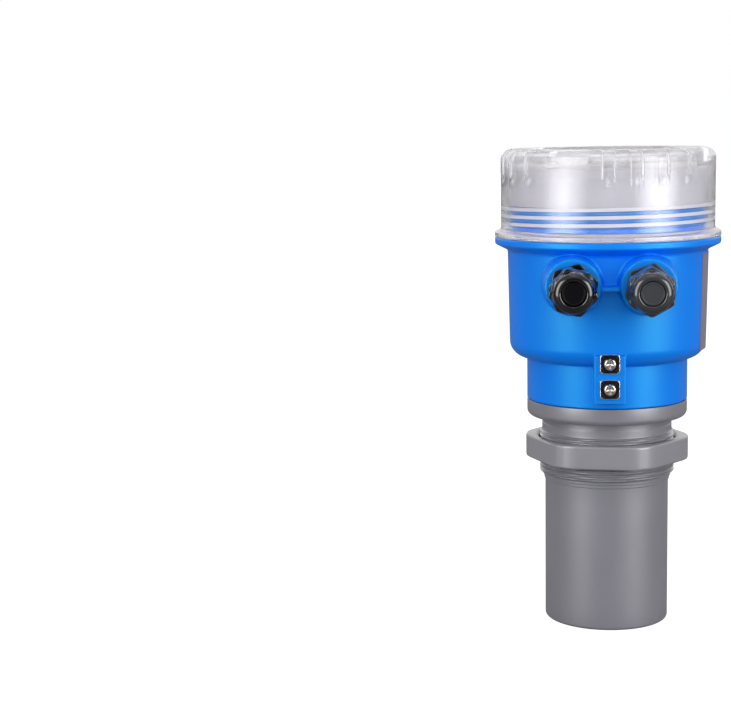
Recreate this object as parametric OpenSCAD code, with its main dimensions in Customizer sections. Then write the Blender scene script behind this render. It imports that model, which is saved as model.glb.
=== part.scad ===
// Compact ultrasonic level sensor: a grey transducer barrel with a mounting thread and
// lock nut carries a blue housing with two cable glands, an earth terminal and a clear
// screw-on lid over a display and three keys. It stands on its sensing face at z = 0,
// with the glands towards -Y. Millimetres.

/* [Transducer] */
// Diameter of the plain barrel
barrel_d = 55; // [48:0.5:57]
// Height of the plain barrel below the thread
barrel_h = 66.5; // [40:0.5:120]
// Rounding of the barrel's lower edge
barrel_edge_r = 1.5; // [0.5:0.5:4]
// Outer diameter of the mounting thread
thread_d = 60; // [58:0.5:64]
// Length of the mounting thread
thread_l = 22; // [18:1:40]
// Diameter of the relief groove above the thread
relief_d = 57.4; // [54:0.2:58]
// Height of the relief groove
relief_h = 4.5; // [2:0.5:8]
// Diameter of the collar and of the housing's skirt
collar_d = 71.2; // [66:0.2:76]
// Height of the collar
collar_h = 7.5; // [5:0.5:14]
// Rounding of the collar's lower edge
collar_edge_r = 2.6; // [0.5:0.1:4]
// Wall of the barrel
barrel_wall = 4; // [3:0.5:6]
// Thickness of the sensing face
face_t = 3.2; // [2:0.2:5]
// Height of the spigot that enters the housing
spigot_h = 7.5; // [6:0.5:12]

/* [Transducer inside] */
// Thickness of the matching layer
matching_t = 6; // [3:0.5:10]
// Diameter of the piezo disc
piezo_d = 30; // [20:1:32]
// Thickness of the piezo disc
piezo_t = 10; // [4:0.5:14]
// Depth of the potting above the matching layer
potting_h = 46; // [20:1:70]
// Diameter of each transducer wire
wire_d = 1.6; // [1:0.1:2]
// Distance between the two transducer wires
wire_pitch = 8; // [4:0.5:12]
// Diameter of the temperature sensor
temp_d = 3; // [2:0.2:4]
// Length of the temperature sensor
temp_l = 8; // [5:0.5:12]

/* [Lock nut] */
// Width across the nut's flats
nut_af = 67.2; // [64:0.2:72]
// Diameter over the nut's rounded corners
nut_corner_d = 72.4; // [70:0.2:80]
// Thickness of the nut
nut_h = 10.4; // [8:0.1:14]
// Gap between the collar and the nut
nut_drop = 9.1; // [2:0.1:10]
// Turn of the nut about its axis
nut_turn = -5.5; // [-30:0.5:30]
// Bevel on the nut's edges
nut_bevel = 1; // [0.4:0.1:2]

/* [Housing] */
// Height of the skirt above the collar
skirt_h = 19.2; // [14:0.1:24]
// Diameter of the body above its lower corner
body_d = 86.4; // [82:0.2:92]
// Diameter of the body under the flange
body_top_d = 88.6; // [84:0.2:94]
// Height of the body from the skirt to the flange
body_h = 50.6; // [48:0.1:70]
// Rounding of the body's lower corner
body_corner_r = 7; // [2:0.2:7.4]
// Diameter of the flange under the lid
flange_d = 99.6; // [98:0.2:106]
// Thickness of the flange's rim
flange_t = 3; // [2:0.1:5]
// Height of the slope under the flange
flange_slope_h = 2.7; // [1:0.1:4]
// Diameter of the neck that carries the lid
neck_d = 86; // [84:0.2:88]
// Height of the neck above the flange
neck_h = 14; // [12:0.5:18]
// Diameter of the space inside the housing
chamber_d = 80; // [78:0.2:81]
// Thickness of the housing's floor
floor_t = 3.2; // [2:0.2:5]
// Wall of the skirt
skirt_wall = 4.1; // [3:0.1:5]

/* [Cable glands] */
// Distance between the two gland axes
gland_pitch = 31.4; // [27:0.2:34]
// Depth of the gland axes below the flange's top
gland_drop = 17.9; // [15:0.1:22]
// Diameter of a gland boss at its face
boss_d = 23.6; // [21:0.2:25]
// Diameter of a gland boss at the axis of the housing
boss_root_d = 30; // [26:0.2:31]
// Distance from the housing's axis to the boss faces
boss_reach = 56; // [52:0.5:62]
// Thickness of the web between the bosses
web_t = 1.6; // [1.2:0.2:5]
// Depth of the web below the gland axes
web_drop = 1.2; // [0:0.1:3]
// Outer diameter of the gland's entry thread
entry_d = 16; // [12:0.5:18]
// Length of the gland's entry thread
entry_l = 12; // [8:0.5:12]
// Thickness of the sealing washer under the gland
gland_washer_t = 1.2; // [0.8:0.1:2]
// Width across the flats of the gland's fixed hexagon
gland_hex_af = 19; // [18:0.2:23]
// Thickness of the gland's fixed hexagon
gland_hex_h = 5.1; // [4:0.1:8]
// Thread left in view under the gland nut
gland_gap = 3.6; // [2.5:0.1:5]
// Outer diameter of the gland's clamping thread
clamp_d = 14.8; // [13:0.2:15]
// Length of the gland's clamping thread
clamp_l = 10.7; // [8:0.1:11]
// Bore of the gland
gland_bore_d = 11.2; // [9:0.2:11.6]
// Width across the flats of the gland nut
cap_af = 18.2; // [17.4:0.2:21]
// Height of the gland nut's hexagon
cap_hex_h = 10.9; // [10:0.1:13]
// Height of the gland nut's dome
cap_dome_h = 6; // [5:0.1:8]
// Diameter of the flat on the gland nut's front
cap_front_d = 12; // [11.4:0.2:14]
// Diameter of the blanking plug in the nut's mouth
plug_d = 9.7; // [8:0.1:10]

/* [Earth terminal] */
// Width of the terminal pad
pad_w = 13.4; // [11:0.2:18]
// Height of the terminal pad
pad_h = 21.2; // [20:0.2:24]
// Gap between the collar and the pad's lower end
pad_rise = 3.7; // [2:0.1:5]
// Distance from the housing's axis to the pad's face
pad_reach = 44.3; // [44:0.1:48]
// Distance between the two terminal screws
earth_pitch = 10.9; // [9.5:0.1:12]
// Height of the lower screw above the pad's lower end
earth_rise = 6.7; // [5:0.1:7]
// Side of a square terminal washer
earth_washer_w = 8.4; // [7:0.1:9.2]
// Thickness of a terminal washer
earth_washer_t = 0.9; // [0.6:0.1:1.4]
// Diameter of the terminal screws
earth_screw_d = 3; // [2.5:0.1:4]
// Diameter of a terminal screw's head
earth_head_d = 5.2; // [4.8:0.1:6.5]

/* [Lid] */
// Outer diameter of the lid
lid_d = 94.2; // [92.6:0.2:96]
// Height of the lid from its flange to its rim
lid_h = 38.5; // [37:0.5:42]
// Height of the lid flange's rim
lid_flange_h = 1.9; // [1.6:0.1:4]
// Height of the slope above the lid flange
lid_slope_h = 1.6; // [0.5:0.1:3]
// Wall of the lid
lid_wall = 2.9; // [2.2:0.1:3.4]
// Rounding of the lid's upper edge
lid_edge_r = 4.6; // [3:0.1:6]
// Depth of the window below the rim
rim_depth = 3.4; // [2:0.1:4]
// Diameter of the flat window
window_d = 60; // [54:0.5:64]
// Diameter of the rim's inner edge
rim_inner_d = 66; // [65:0.5:72]
// Thickness of the window
window_t = 2.6; // [2:0.1:3]
// Number of channels through the rim
channel_count = 4; // [3:1:5]
// Width of each channel in degrees
channel_deg = 18; // [10:1:24]
// Direction of the first channel, from -Y towards +X
channel_turn = -24; // [-45:1:45]
// Grip flutes in each rim segment
flute_count = 4; // [2:1:4]
// Angle between neighbouring flutes
flute_step = 14.8; // [11:0.2:16]
// Width of a flute
flute_w = 5.1; // [3:0.1:7]
// Depth of a flute
flute_depth = 1.3; // [0.6:0.1:1.6]
// Length of a flute down the lid's side
flute_l = 13.4; // [8:0.1:18]
// Length of a flute along the lid's top
flute_top_l = 8.5; // [6:0.5:11]
// Number of moulded stops on the lid's flange
stop_count = 6; // [3:1:12]
// Width of a moulded stop
stop_w = 5; // [3:0.5:8]

/* [Display] */
// Diameter of the display carrier
carrier_d = 78; // [76:0.5:78.5]
// Gap between the carrier's drum and the lid's bore
drum_gap = 1; // [0.6:0.1:2.5]
// Height of the display carrier
carrier_h = 26.4; // [24:0.2:28]
// Wall of the display carrier
carrier_wall = 2.4; // [1.8:0.1:3]
// Width of the display opening
lcd_w = 35; // [30:0.5:36]
// Height of the display opening
lcd_h = 28; // [22:0.5:28]
// Shift of the display towards the glands
lcd_shift = 2; // [1:0.5:3]
// Border of the display glass behind its opening
lcd_border = 2; // [1:0.1:2]
// Thickness of the display glass
lcd_t = 3; // [2:0.1:4]
// Distance between neighbouring keys
key_pitch = 9.3; // [8:0.1:10]
// Distance of the keys from the lid's axis
key_offset = 22.8; // [21.5:0.1:23]
// Diameter of a key
key_d = 4.4; // [3.5:0.1:4.6]
// Height of a key above the carrier
key_rise = 0.6; // [0.2:0.1:0.8]
// Travel of a key
key_travel = 0.6; // [0.3:0.1:0.8]

/* [Electronics] */
// Thickness of the circuit boards
board_t = 1.6; // [1:0.1:2]
// Diameter of the main board
main_board_d = 58; // [54:0.5:58.5]
// Height of the main board above the floor
standoff_h = 13.6; // [8:0.1:18]
// Diameter of the display board
display_board_d = 56; // [55:0.5:57]
// Length of the terminal block
terminal_l = 26; // [20:0.5:26]
// Height of the terminal block
terminal_h = 10.4; // [8:0.2:12]
// Ways in the terminal block
terminal_ways = 5; // [3:1:6]

/* [Fits] */
// Gap round parts that move against each other
running_gap = 0.2; // [0.15:0.05:0.4]
// Gap round parts that are fixed together
fixed_gap = 0.1; // [0.05:0.05:0.2]
// Section diameter of the sealing rings
seal_d = 2.4; // [2:0.1:2.6]

/* [Hidden] */

$fn = 96;
eps = 0.01;                 // overlap that joins shapes inside one piece
over = 2;                   // run of a cut past the face it starts from

// Levels along the axis
thread_z = barrel_h;
relief_z = thread_z + thread_l;
collar_z = relief_z + relief_h;
body_z = collar_z + collar_h;
step_z = body_z + skirt_h;
floor_z = step_z + floor_t;
flange_z = step_z + body_h;
flange_top = flange_z + flange_t;
neck_top = flange_top + neck_h;
nut_z = collar_z - nut_drop - nut_h;
gland_z = flange_top - gland_drop;
lid_z = flange_top + running_gap;
lid_top = lid_z + lid_h;
window_z = lid_top - rim_depth;
ceiling_z = window_z - window_t;

// Transducer
barrel_r = barrel_d / 2;
well_r = barrel_r - barrel_wall;
collar_r = collar_d / 2;
skirt_r = collar_r - skirt_wall;
spigot_r = skirt_r - fixed_gap * 3;
seal_groove_h = seal_d + 2 * fixed_gap;
matching_z = face_t;
piezo_z = matching_z + matching_t;
temp_r = (piezo_d / 2 + well_r) / 2;
potting_top = piezo_z + potting_h;

// Housing
chamber_r = chamber_d / 2;
neck_r = neck_d / 2;
neck_bevel = 1;
screw_d = 3;                // board and carrier screws
screw_head_d = 5.4;
screw_head_h = 2;
screw_grip = 9;             // thread length in the plastic
board_z = floor_z + standoff_h;
standoff_d = 6.4;
floor_hole_r = temp_r + wire_d / 2 + 1;
board_screw_r = floor_hole_r + standoff_d / 2 + 0.25;
board_screw_turn = 45;
pillar_d = 7.4;             // screw pillars that carry the display carrier
pillar_r = 33.5;
pillar_turns = [for (i = [1, 2, 3]) channel_turn + 45 + 90 * i];

// Display, worked down from the lid's ceiling
lid_r = lid_d / 2;
lid_bore_r = lid_r - lid_wall;
ceiling_gap = 2;            // room between the carrier and the lid's ceiling
carrier_top = ceiling_z - ceiling_gap;
carrier_z = carrier_top - carrier_h;
carrier_r = carrier_d / 2;
drum_r = lid_bore_r - drum_gap;
drum_z = neck_top + fixed_gap;
carrier_face_t = 2.5;
carrier_face_z = carrier_top - carrier_face_t;
well_d = screw_head_d + 1;  // screw wells in the carrier
column_d = well_d + 3.2;
lcd_z = carrier_face_z - lcd_t - fixed_gap;
display_board_z = lcd_z - board_t;
display_post_r = 25;
display_post_d = 4;
display_post_turns = [50, 130, 205, 335];
display_screw_d = 2;
display_screw_head_d = 3.8;
display_screw_head_h = 1.4;
key_flange_d = key_d + 1.6;
key_flange_t = 0.8;
key_top = carrier_top + key_rise;
key_flange_z = carrier_face_z - running_gap - key_flange_t;
switch_h = key_flange_z - key_travel - running_gap - lcd_z;
switch_w = 4.4;
key_round = 0.6;
keypad_depth = 0.5;
keypad_margin = 3;          // rim left round the keypad field
carrier_bevel = 1;
carrier_foot_t = 3;         // carrier floor under its screw heads
carrier_screw_l = screw_grip + carrier_foot_t - 1;
display_screw_l = board_t + lcd_t - 0.5;

// Lid
lid_seal_r = neck_r + running_gap + 0.1 + seal_d / 2;
lid_groove_r = lid_seal_r + seal_d / 2 + fixed_gap;
lid_groove_h = seal_d + 2 * running_gap;
flange_r = flange_d / 2;
segment_deg = 360 / channel_count;
channel_wall_deg = 3;       // wall beside each channel
ceiling_bevel = 2;          // slope between the lid's bore and the rim's underside
stop_turn = 9;
stop_depth = 1.2;
stop_h = lid_flange_h * 0.75;

// Glands, measured outwards from the boss face
web_reach = boss_reach - 1; // the web stops short of the boss faces
hex_z = gland_washer_t;
clamp_z = hex_z + gland_hex_h;
cap_z = clamp_z + gland_gap;
cap_shoulder = cap_z + cap_hex_h;
cap_top = cap_shoulder + cap_dome_h;
clamp_top = clamp_z + clamp_l;
plug_flange_d = plug_d + 2.6;
plug_flange_t = 1.5;
plug_lip_z = cap_top - 4.1;
plug_recess = 0.5;
seal_wall = 1.3;
cap_clear = 2;              // room inside the cap for the clamping stroke
cap_round = 2.3;            // rounding of the gland nut's front edge
cap_corner_d = cap_af + 2.6;
cap_turns = [47, 30];       // turn of the left and right gland nuts
hex_corner_d = gland_hex_af + 2.4;
hex_turns = [17, 20];       // turn of the left and right fixed hexagons
dome_d = cap_af - 0.4;      // dome at the shoulder of the gland nut
cap_bore_top = clamp_top + cap_clear;

// Earth terminal
earth_insert_d = 5;
earth_insert_l = 7;
earth_rim_t = 0.5;          // raised rim round a terminal washer
earth_rim_w = 0.3;
earth_corner_r = earth_washer_w * 0.66;

// Main board's parts
terminal_d = 8.6;
terminal_y = 20.5;
terminal_screw_d = 3.2;
terminal_screw_depth = 2.5;
terminal_slot = [2.8, 4, 3];
terminal_slot_z = 2.5;
transformer_at = [-13, 4];
transformer_size = [14, 12];
transformer_cheek_t = 2.4;
transformer_core = [10, 6]; // diameter and height of the winding
capacitor_d = 8;
capacitor_h = 12;
capacitors_at = [[6, 8], [16, 8]];
ribbon_w = 12;
ribbon_t = 1;
ribbon_y = 21;

// Points on an arc from angle a0 to a1
function arc(centre, r, a0, a1, steps = 8) =
    [for (i = [0:steps])
        centre + r * [cos(a0 + (a1 - a0) * i / steps), sin(a0 + (a1 - a0) * i / steps)]];

// Turns +X towards the direction that lies a degrees from -Y towards +X
module facing(a) rotate([0, 0, a - 90]) children();

// Moves a terminal screw, drawn along +Z from the pad's face, to the lower (0) or upper (1) place
module at_earth(i) translate([0, -pad_reach, body_z + pad_rise + earth_rise + i * earth_pitch])
    rotate([90, 0, 0]) children();

// Moves a gland, drawn along +Z from its boss face, to the left (-1) or right (+1) boss
module at_gland(side)
    translate([side * gland_pitch / 2, -boss_reach, gland_z]) rotate([90, 0, 0]) children();

module ring(r_out, r_in, h) difference() {
    cylinder(r = r_out, h = h);
    translate([0, 0, -over]) cylinder(r = r_in, h = h + 2 * over);
}

// Hexagonal prism with turned corners
module hexagon(af, corner_d, h) intersection() {
    cylinder(d = af / cos(30), h = h, $fn = 6);
    cylinder(d = corner_d, h = h);
}

module pan_screw(d, head_d, head_h, l) {
    translate([0, 0, -l]) cylinder(d = d, h = l + eps);
    rotate_extrude() polygon(concat(
        [[0, 0], [head_d / 2, 0]],
        arc([head_d / 2 - head_h / 2, head_h / 2], head_h / 2, 0, 90),
        [[0, head_h]]));
}

module transducer_body() color("slategray") difference() {
    rotate_extrude() polygon(concat(
        [[0, 0]],
        arc([barrel_r - barrel_edge_r, barrel_edge_r], barrel_edge_r, -90, 0),
        [[barrel_r, thread_z], [thread_d / 2, thread_z + (thread_d - barrel_d) / 4],
         [thread_d / 2, relief_z], [relief_d / 2, relief_z + (thread_d - relief_d) / 2],
         [relief_d / 2, collar_z]],
        arc([collar_r - collar_edge_r, collar_z + collar_edge_r], collar_edge_r, -90, 0),
        [[collar_r, body_z], [spigot_r, body_z],
         [spigot_r, body_z + spigot_h], [0, body_z + spigot_h]]));
    translate([0, 0, face_t]) cylinder(r = well_r, h = body_z + spigot_h);
    translate([0, 0, body_z + (spigot_h - seal_groove_h) / 2])
        ring(collar_r, skirt_r - seal_d - 2 * fixed_gap, seal_groove_h);
}

module matching_layer() color("palegoldenrod")
    translate([0, 0, matching_z]) cylinder(r = well_r - fixed_gap, h = matching_t);

module piezo_disc() color("lightgray")
    translate([0, 0, piezo_z]) cylinder(d = piezo_d, h = piezo_t);

module potting() color("dimgray") difference() {
    translate([0, 0, piezo_z]) cylinder(r = well_r - fixed_gap, h = potting_h);
    translate([0, 0, piezo_z - over]) cylinder(d = piezo_d + 2 * fixed_gap, h = piezo_t + over);
    for (s = [-1, 1]) translate([s * wire_pitch / 2, 0, piezo_z])
        cylinder(d = wire_d + 2 * fixed_gap, h = potting_h + over);
    translate([0, temp_r, piezo_z - over]) cylinder(d = temp_d + 2 * fixed_gap, h = temp_l + over);
    translate([0, temp_r, piezo_z]) cylinder(d = wire_d + 2 * fixed_gap, h = potting_h + over);
}

module temperature_sensor() color("black")
    translate([0, temp_r, piezo_z]) cylinder(d = temp_d, h = temp_l);

module transducer_wires() color("firebrick") {
    for (s = [-1, 1]) translate([s * wire_pitch / 2, 0, piezo_z + piezo_t])
        cylinder(d = wire_d, h = board_z - piezo_z - piezo_t);
    translate([0, temp_r, piezo_z + temp_l]) cylinder(d = wire_d, h = board_z - piezo_z - temp_l);
}

module lock_nut() color("gray") translate([0, 0, nut_z]) difference() {
    intersection() {
        rotate([0, 0, nut_turn]) cylinder(d = nut_af / cos(30), h = nut_h, $fn = 6);
        rotate_extrude() polygon([
            [0, 0], [nut_corner_d / 2 - nut_bevel, 0], [nut_corner_d / 2, nut_bevel],
            [nut_corner_d / 2, nut_h - nut_bevel], [nut_corner_d / 2 - nut_bevel, nut_h],
            [0, nut_h]]);
    }
    translate([0, 0, -over]) cylinder(r = thread_d / 2 + running_gap, h = nut_h + 2 * over);
}

module collar_seal() color("black") translate([0, 0, body_z + spigot_h / 2])
    rotate_extrude() translate([skirt_r - seal_d / 2 - fixed_gap / 2, 0]) circle(d = seal_d);

module housing_outside() {
    rotate_extrude() polygon(concat(
        [[0, body_z], [collar_r, body_z], [collar_r, step_z]],
        arc([body_d / 2 - body_corner_r, step_z + body_corner_r], body_corner_r, -90, 0),
        [[body_top_d / 2, flange_z - flange_slope_h], [flange_r, flange_z],
         [flange_r, flange_top], [neck_r, flange_top],
         [neck_r, neck_top - neck_bevel], [neck_r - neck_bevel, neck_top], [0, neck_top]]));
    for (side = [-1, 1]) translate([side * gland_pitch / 2, 0, gland_z]) rotate([90, 0, 0])
        cylinder(d1 = boss_root_d, d2 = boss_d, h = boss_reach);
    translate([-gland_pitch / 2, -web_reach, gland_z - web_drop - web_t / 2])
        cube([gland_pitch, web_reach, web_t]);
    translate([-pad_w / 2, -pad_reach, body_z + pad_rise]) cube([pad_w, pad_reach, pad_h]);
}

// The four screws of the main board
module at_board_screws() for (i = [0:3]) rotate([0, 0, board_screw_turn + 90 * i])
    translate([board_screw_r, 0, 0]) children();

// Screw pillars and standoffs that stand inside the chamber
module housing_posts() {
    for (a = pillar_turns) facing(a) translate([pillar_r, 0, floor_z - eps])
        cylinder(d = pillar_d, h = carrier_z - floor_z + eps);
    at_board_screws() translate([0, 0, floor_z - eps]) cylinder(d = standoff_d, h = standoff_h + eps);
}

module housing() color("dodgerblue") difference() {
    union() {
        difference() {
            housing_outside();
            translate([0, 0, floor_z]) cylinder(r = chamber_r, h = neck_top);
        }
        housing_posts();
    }
    translate([0, 0, body_z - over]) cylinder(r = skirt_r, h = skirt_h + over);
    translate([0, 0, body_z]) cylinder(r = floor_hole_r, h = floor_z);
    for (side = [-1, 1]) translate([side * gland_pitch / 2, 0, gland_z]) rotate([90, 0, 0])
        cylinder(d = entry_d + 2 * fixed_gap, h = boss_reach + over);
    for (i = [0, 1]) at_earth(i) translate([0, 0, -earth_insert_l])
        cylinder(d = earth_insert_d + 2 * fixed_gap, h = earth_insert_l + over);
    for (a = pillar_turns) facing(a) translate([pillar_r, 0, carrier_z - screw_grip])
        cylinder(d = screw_d + 2 * fixed_gap, h = screw_grip + over);
    at_board_screws() translate([0, 0, board_z - screw_grip])
        cylinder(d = screw_d + 2 * fixed_gap, h = screw_grip + over);
}

module gland_washer(side) color("black") at_gland(side)
    ring(gland_hex_af / 2 - 0.5, entry_d / 2 + fixed_gap, gland_washer_t);

module gland_body(side) color("darkslategray") at_gland(side) difference() {
    union() {
        translate([0, 0, -entry_l]) cylinder(d = entry_d, h = entry_l + hex_z + eps);
        translate([0, 0, hex_z]) rotate([0, 0, hex_turns[(side + 1) / 2]])
            hexagon(gland_hex_af, hex_corner_d, gland_hex_h);
        translate([0, 0, clamp_z - eps]) cylinder(d = clamp_d, h = clamp_l + eps);
    }
    translate([0, 0, -entry_l - over]) cylinder(d = gland_bore_d, h = entry_l + clamp_top + 2 * over);
}

module gland_seal(side) color("black") at_gland(side) translate([0, 0, clamp_z])
    ring(gland_bore_d / 2 - fixed_gap, gland_bore_d / 2 - fixed_gap - seal_wall, clamp_l + 1);

module gland_plug(side) color("black") at_gland(side) {
    translate([0, 0, plug_lip_z - running_gap - plug_flange_t])
        cylinder(d = plug_flange_d, h = plug_flange_t);
    translate([0, 0, plug_lip_z - running_gap - eps])
        cylinder(d = plug_d, h = cap_top - plug_recess - plug_lip_z + running_gap + eps);
}

module gland_nut(side) color("darkslategray") at_gland(side) difference() {
    union() {
        translate([0, 0, cap_z]) rotate([0, 0, cap_turns[(side + 1) / 2]])
            hexagon(cap_af, cap_corner_d, cap_hex_h);
        rotate_extrude() polygon(concat(
            [[0, cap_shoulder - eps], [dome_d / 2, cap_shoulder - eps]],
            arc([cap_front_d / 2, cap_shoulder + cap_dome_h - cap_round], cap_round, 0, 90),
            [[0, cap_top]]));
    }
    translate([0, 0, cap_z - over])
        cylinder(d = clamp_d + 2 * running_gap, h = cap_bore_top - cap_z + over);
    translate([0, 0, cap_z]) cylinder(d = plug_flange_d + 2 * running_gap, h = plug_lip_z - cap_z);
    translate([0, 0, cap_z]) cylinder(d = plug_d + 2 * running_gap, h = cap_top);
}

module earth_inserts() color("goldenrod") for (i = [0, 1]) at_earth(i)
    translate([0, 0, -earth_insert_l])
        ring(earth_insert_d / 2, earth_screw_d / 2 + fixed_gap, earth_insert_l);

// Square washer with a raised rim that keeps the wire under the screw
module earth_washers() color("silver") for (i = [0, 1]) at_earth(i) difference() {
    translate([-earth_washer_w / 2, -earth_washer_w / 2, 0])
        cube([earth_washer_w, earth_washer_w, earth_washer_t + earth_rim_t]);
    translate([0, 0, earth_washer_t]) cylinder(d = earth_washer_w - 2 * earth_rim_w, h = over);
    translate([0, 0, -over]) cylinder(d = earth_screw_d + 2 * fixed_gap, h = earth_washer_t + 2 * over);
    for (a = [45:90:315]) rotate([0, 0, a]) translate([earth_corner_r, -over, -over])
        cube([over, 2 * over, earth_washer_t + 2 * over]);
}

module earth_screws() color("gainsboro") for (i = [0, 1]) at_earth(i)
    translate([0, 0, earth_washer_t])
        pan_screw(earth_screw_d, earth_head_d, screw_head_h, earth_insert_l);

module main_board() color("seagreen") translate([0, 0, board_z]) difference() {
    cylinder(d = main_board_d, h = board_t);
    at_board_screws() translate([0, 0, -over])
        cylinder(d = screw_d + 4 * fixed_gap, h = board_t + 2 * over);
}

module board_screws() color("silver")
    at_board_screws() translate([0, 0, board_z + board_t])
        pan_screw(screw_d, screw_head_d, screw_head_h, screw_grip);

// Pluggable wire terminals that face the glands
module terminal_block() color("limegreen") translate([0, -terminal_y, board_z + board_t]) difference() {
    translate([-terminal_l / 2, -terminal_d / 2, 0]) cube([terminal_l, terminal_d, terminal_h]);
    for (i = [0:terminal_ways - 1])
        translate([(i - (terminal_ways - 1) / 2) * terminal_l / terminal_ways, 0, 0]) {
            translate([0, 1, terminal_h - terminal_screw_depth])
                cylinder(d = terminal_screw_d, h = terminal_screw_depth + over);
            translate([-terminal_slot[0] / 2, -terminal_d / 2 - over, terminal_slot_z])
                cube(terminal_slot + [0, over, 0]);
        }
}

module drive_transformer() color("khaki")
    translate([transformer_at[0], transformer_at[1], board_z + board_t]) {
        for (z = [0, transformer_cheek_t + transformer_core[1] - eps])
            translate([-transformer_size[0] / 2, -transformer_size[1] / 2, z])
                cube([transformer_size[0], transformer_size[1], transformer_cheek_t]);
        translate([0, 0, transformer_cheek_t - eps])
            cylinder(d = transformer_core[0], h = transformer_core[1] + eps);
    }

module capacitors() color("midnightblue") for (at = capacitors_at)
    translate([at[0], at[1], board_z + board_t]) cylinder(d = capacitor_d, h = capacitor_h);

module ribbon_cable() color("lightsteelblue")
    translate([-ribbon_w / 2, ribbon_y, board_z + board_t])
        cube([ribbon_w, ribbon_t, display_board_z - board_z - board_t]);

module display_carrier() color("whitesmoke") difference() {
    union() {
        difference() {
            rotate_extrude() polygon([
                [0, carrier_z], [carrier_r, carrier_z], [carrier_r, drum_z], [drum_r, drum_z],
                [drum_r, carrier_top - carrier_bevel], [drum_r - carrier_bevel, carrier_top],
                [0, carrier_top]]);
            translate([0, 0, carrier_z - over])
                cylinder(r = carrier_r - carrier_wall, h = carrier_face_z - carrier_z + over);
            translate([0, 0, drum_z - over])
                ring(drum_r - carrier_wall, carrier_r, carrier_face_z - drum_z + over);
        }
        for (a = pillar_turns) facing(a) translate([pillar_r, 0, carrier_z])
            cylinder(d = column_d, h = carrier_h - carrier_bevel - eps);
        for (a = display_post_turns) rotate([0, 0, a])
            translate([display_post_r, 0, display_board_z + board_t])
                cylinder(d = display_post_d, h = lcd_t + fixed_gap + eps);
    }
    translate([-lcd_w / 2, -lcd_h / 2 - lcd_shift, carrier_face_z - over])
        cube([lcd_w, lcd_h, carrier_face_t + 2 * over]);
    for (i = [-1, 0, 1]) translate([i * key_pitch, key_offset, carrier_face_z - over])
        cylinder(d = key_d + 2 * running_gap, h = carrier_face_t + 2 * over);
    // Shallow keypad field under the display
    translate([0, 0, carrier_top - keypad_depth]) intersection() {
        cylinder(r = carrier_r - keypad_margin, h = over);
        translate([-carrier_r, lcd_h / 2 - lcd_shift, 0]) cube([carrier_d, carrier_r, over]);
    }
    for (a = pillar_turns) facing(a) {
        translate([pillar_r, 0, carrier_z + carrier_foot_t]) cylinder(d = well_d, h = carrier_h);
        translate([pillar_r, 0, carrier_z - over]) cylinder(d = screw_d + 4 * fixed_gap, h = carrier_h);
    }
    for (a = display_post_turns) rotate([0, 0, a]) translate([display_post_r, 0, display_board_z])
        cylinder(d = display_screw_d + 2 * fixed_gap, h = board_t + lcd_t);
}

module carrier_screws() color("silver") for (a = pillar_turns) facing(a)
    translate([pillar_r, 0, carrier_z + carrier_foot_t])
        pan_screw(screw_d, screw_head_d, screw_head_h, carrier_screw_l);

module display_board() color("seagreen") translate([0, 0, display_board_z]) difference() {
    cylinder(d = display_board_d, h = board_t);
    for (a = display_post_turns) rotate([0, 0, a]) translate([display_post_r, 0, -over])
        cylinder(d = display_screw_d + 2 * fixed_gap, h = board_t + 2 * over);
}

module lcd_panel() color("darkseagreen")
    translate([-lcd_w / 2 - lcd_border, -lcd_h / 2 - lcd_shift - lcd_border, lcd_z])
        cube([lcd_w + 2 * lcd_border, lcd_h + 2 * lcd_border, lcd_t]);

module key_switches() color("dimgray") for (i = [-1, 0, 1])
    translate([i * key_pitch - switch_w / 2, key_offset - switch_w / 2, lcd_z])
        cube([switch_w, switch_w, switch_h]);

module display_screws() color("silver") for (a = display_post_turns) rotate([0, 0, a])
    translate([display_post_r, 0, display_board_z]) rotate([180, 0, 0])
        pan_screw(display_screw_d, display_screw_head_d, display_screw_head_h, display_screw_l);

// Push key with a flange that keeps it under the carrier's face
module key(i) color("dimgray") translate([i * key_pitch, key_offset, key_flange_z]) {
    cylinder(d = key_flange_d, h = key_flange_t);
    rotate_extrude() polygon(concat(
        [[0, 0]], [[key_d / 2, 0]],
        arc([key_d / 2 - key_round, key_top - key_flange_z - key_round], key_round, 0, 90),
        [[0, key_top - key_flange_z]]));
}

module lid_seal() color("black") translate([0, 0, lid_z + running_gap + seal_d / 2])
    rotate_extrude() translate([lid_seal_r, 0]) circle(d = seal_d);

// Outside of the lid, or that of its flute floors when inset is the flute's depth
module lid_outside(inset) rotate_extrude() polygon(concat(
    [[0, lid_z], [flange_r - inset, lid_z], [flange_r - inset, lid_z + lid_flange_h],
     [lid_r - inset, lid_z + lid_flange_h + lid_slope_h]],
    arc([lid_r - lid_edge_r, lid_top - lid_edge_r], lid_edge_r - inset, 0, 90),
    [[rim_inner_d / 2, lid_top - inset], [window_d / 2, window_z], [0, window_z]]));

// Round-ended slot over the lid's edge, along +X
module flute() {
    low = lid_top - flute_l + flute_w / 2;
    inner = lid_r - flute_top_l + flute_w / 2;
    translate([inner, -flute_w / 2, low]) cube([lid_r, flute_w, flute_l]);
    translate([inner, 0, low]) rotate([0, 90, 0]) cylinder(d = flute_w, h = lid_r);
    translate([inner, 0, lid_top - lid_edge_r]) cylinder(d = flute_w, h = flute_l);
}

// Ring sector about the direction a
module sector(a, width, r_in, r_out, h) facing(a - width / 2) rotate_extrude(angle = width)
    translate([r_in, 0]) square([r_out - r_in, h]);

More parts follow.
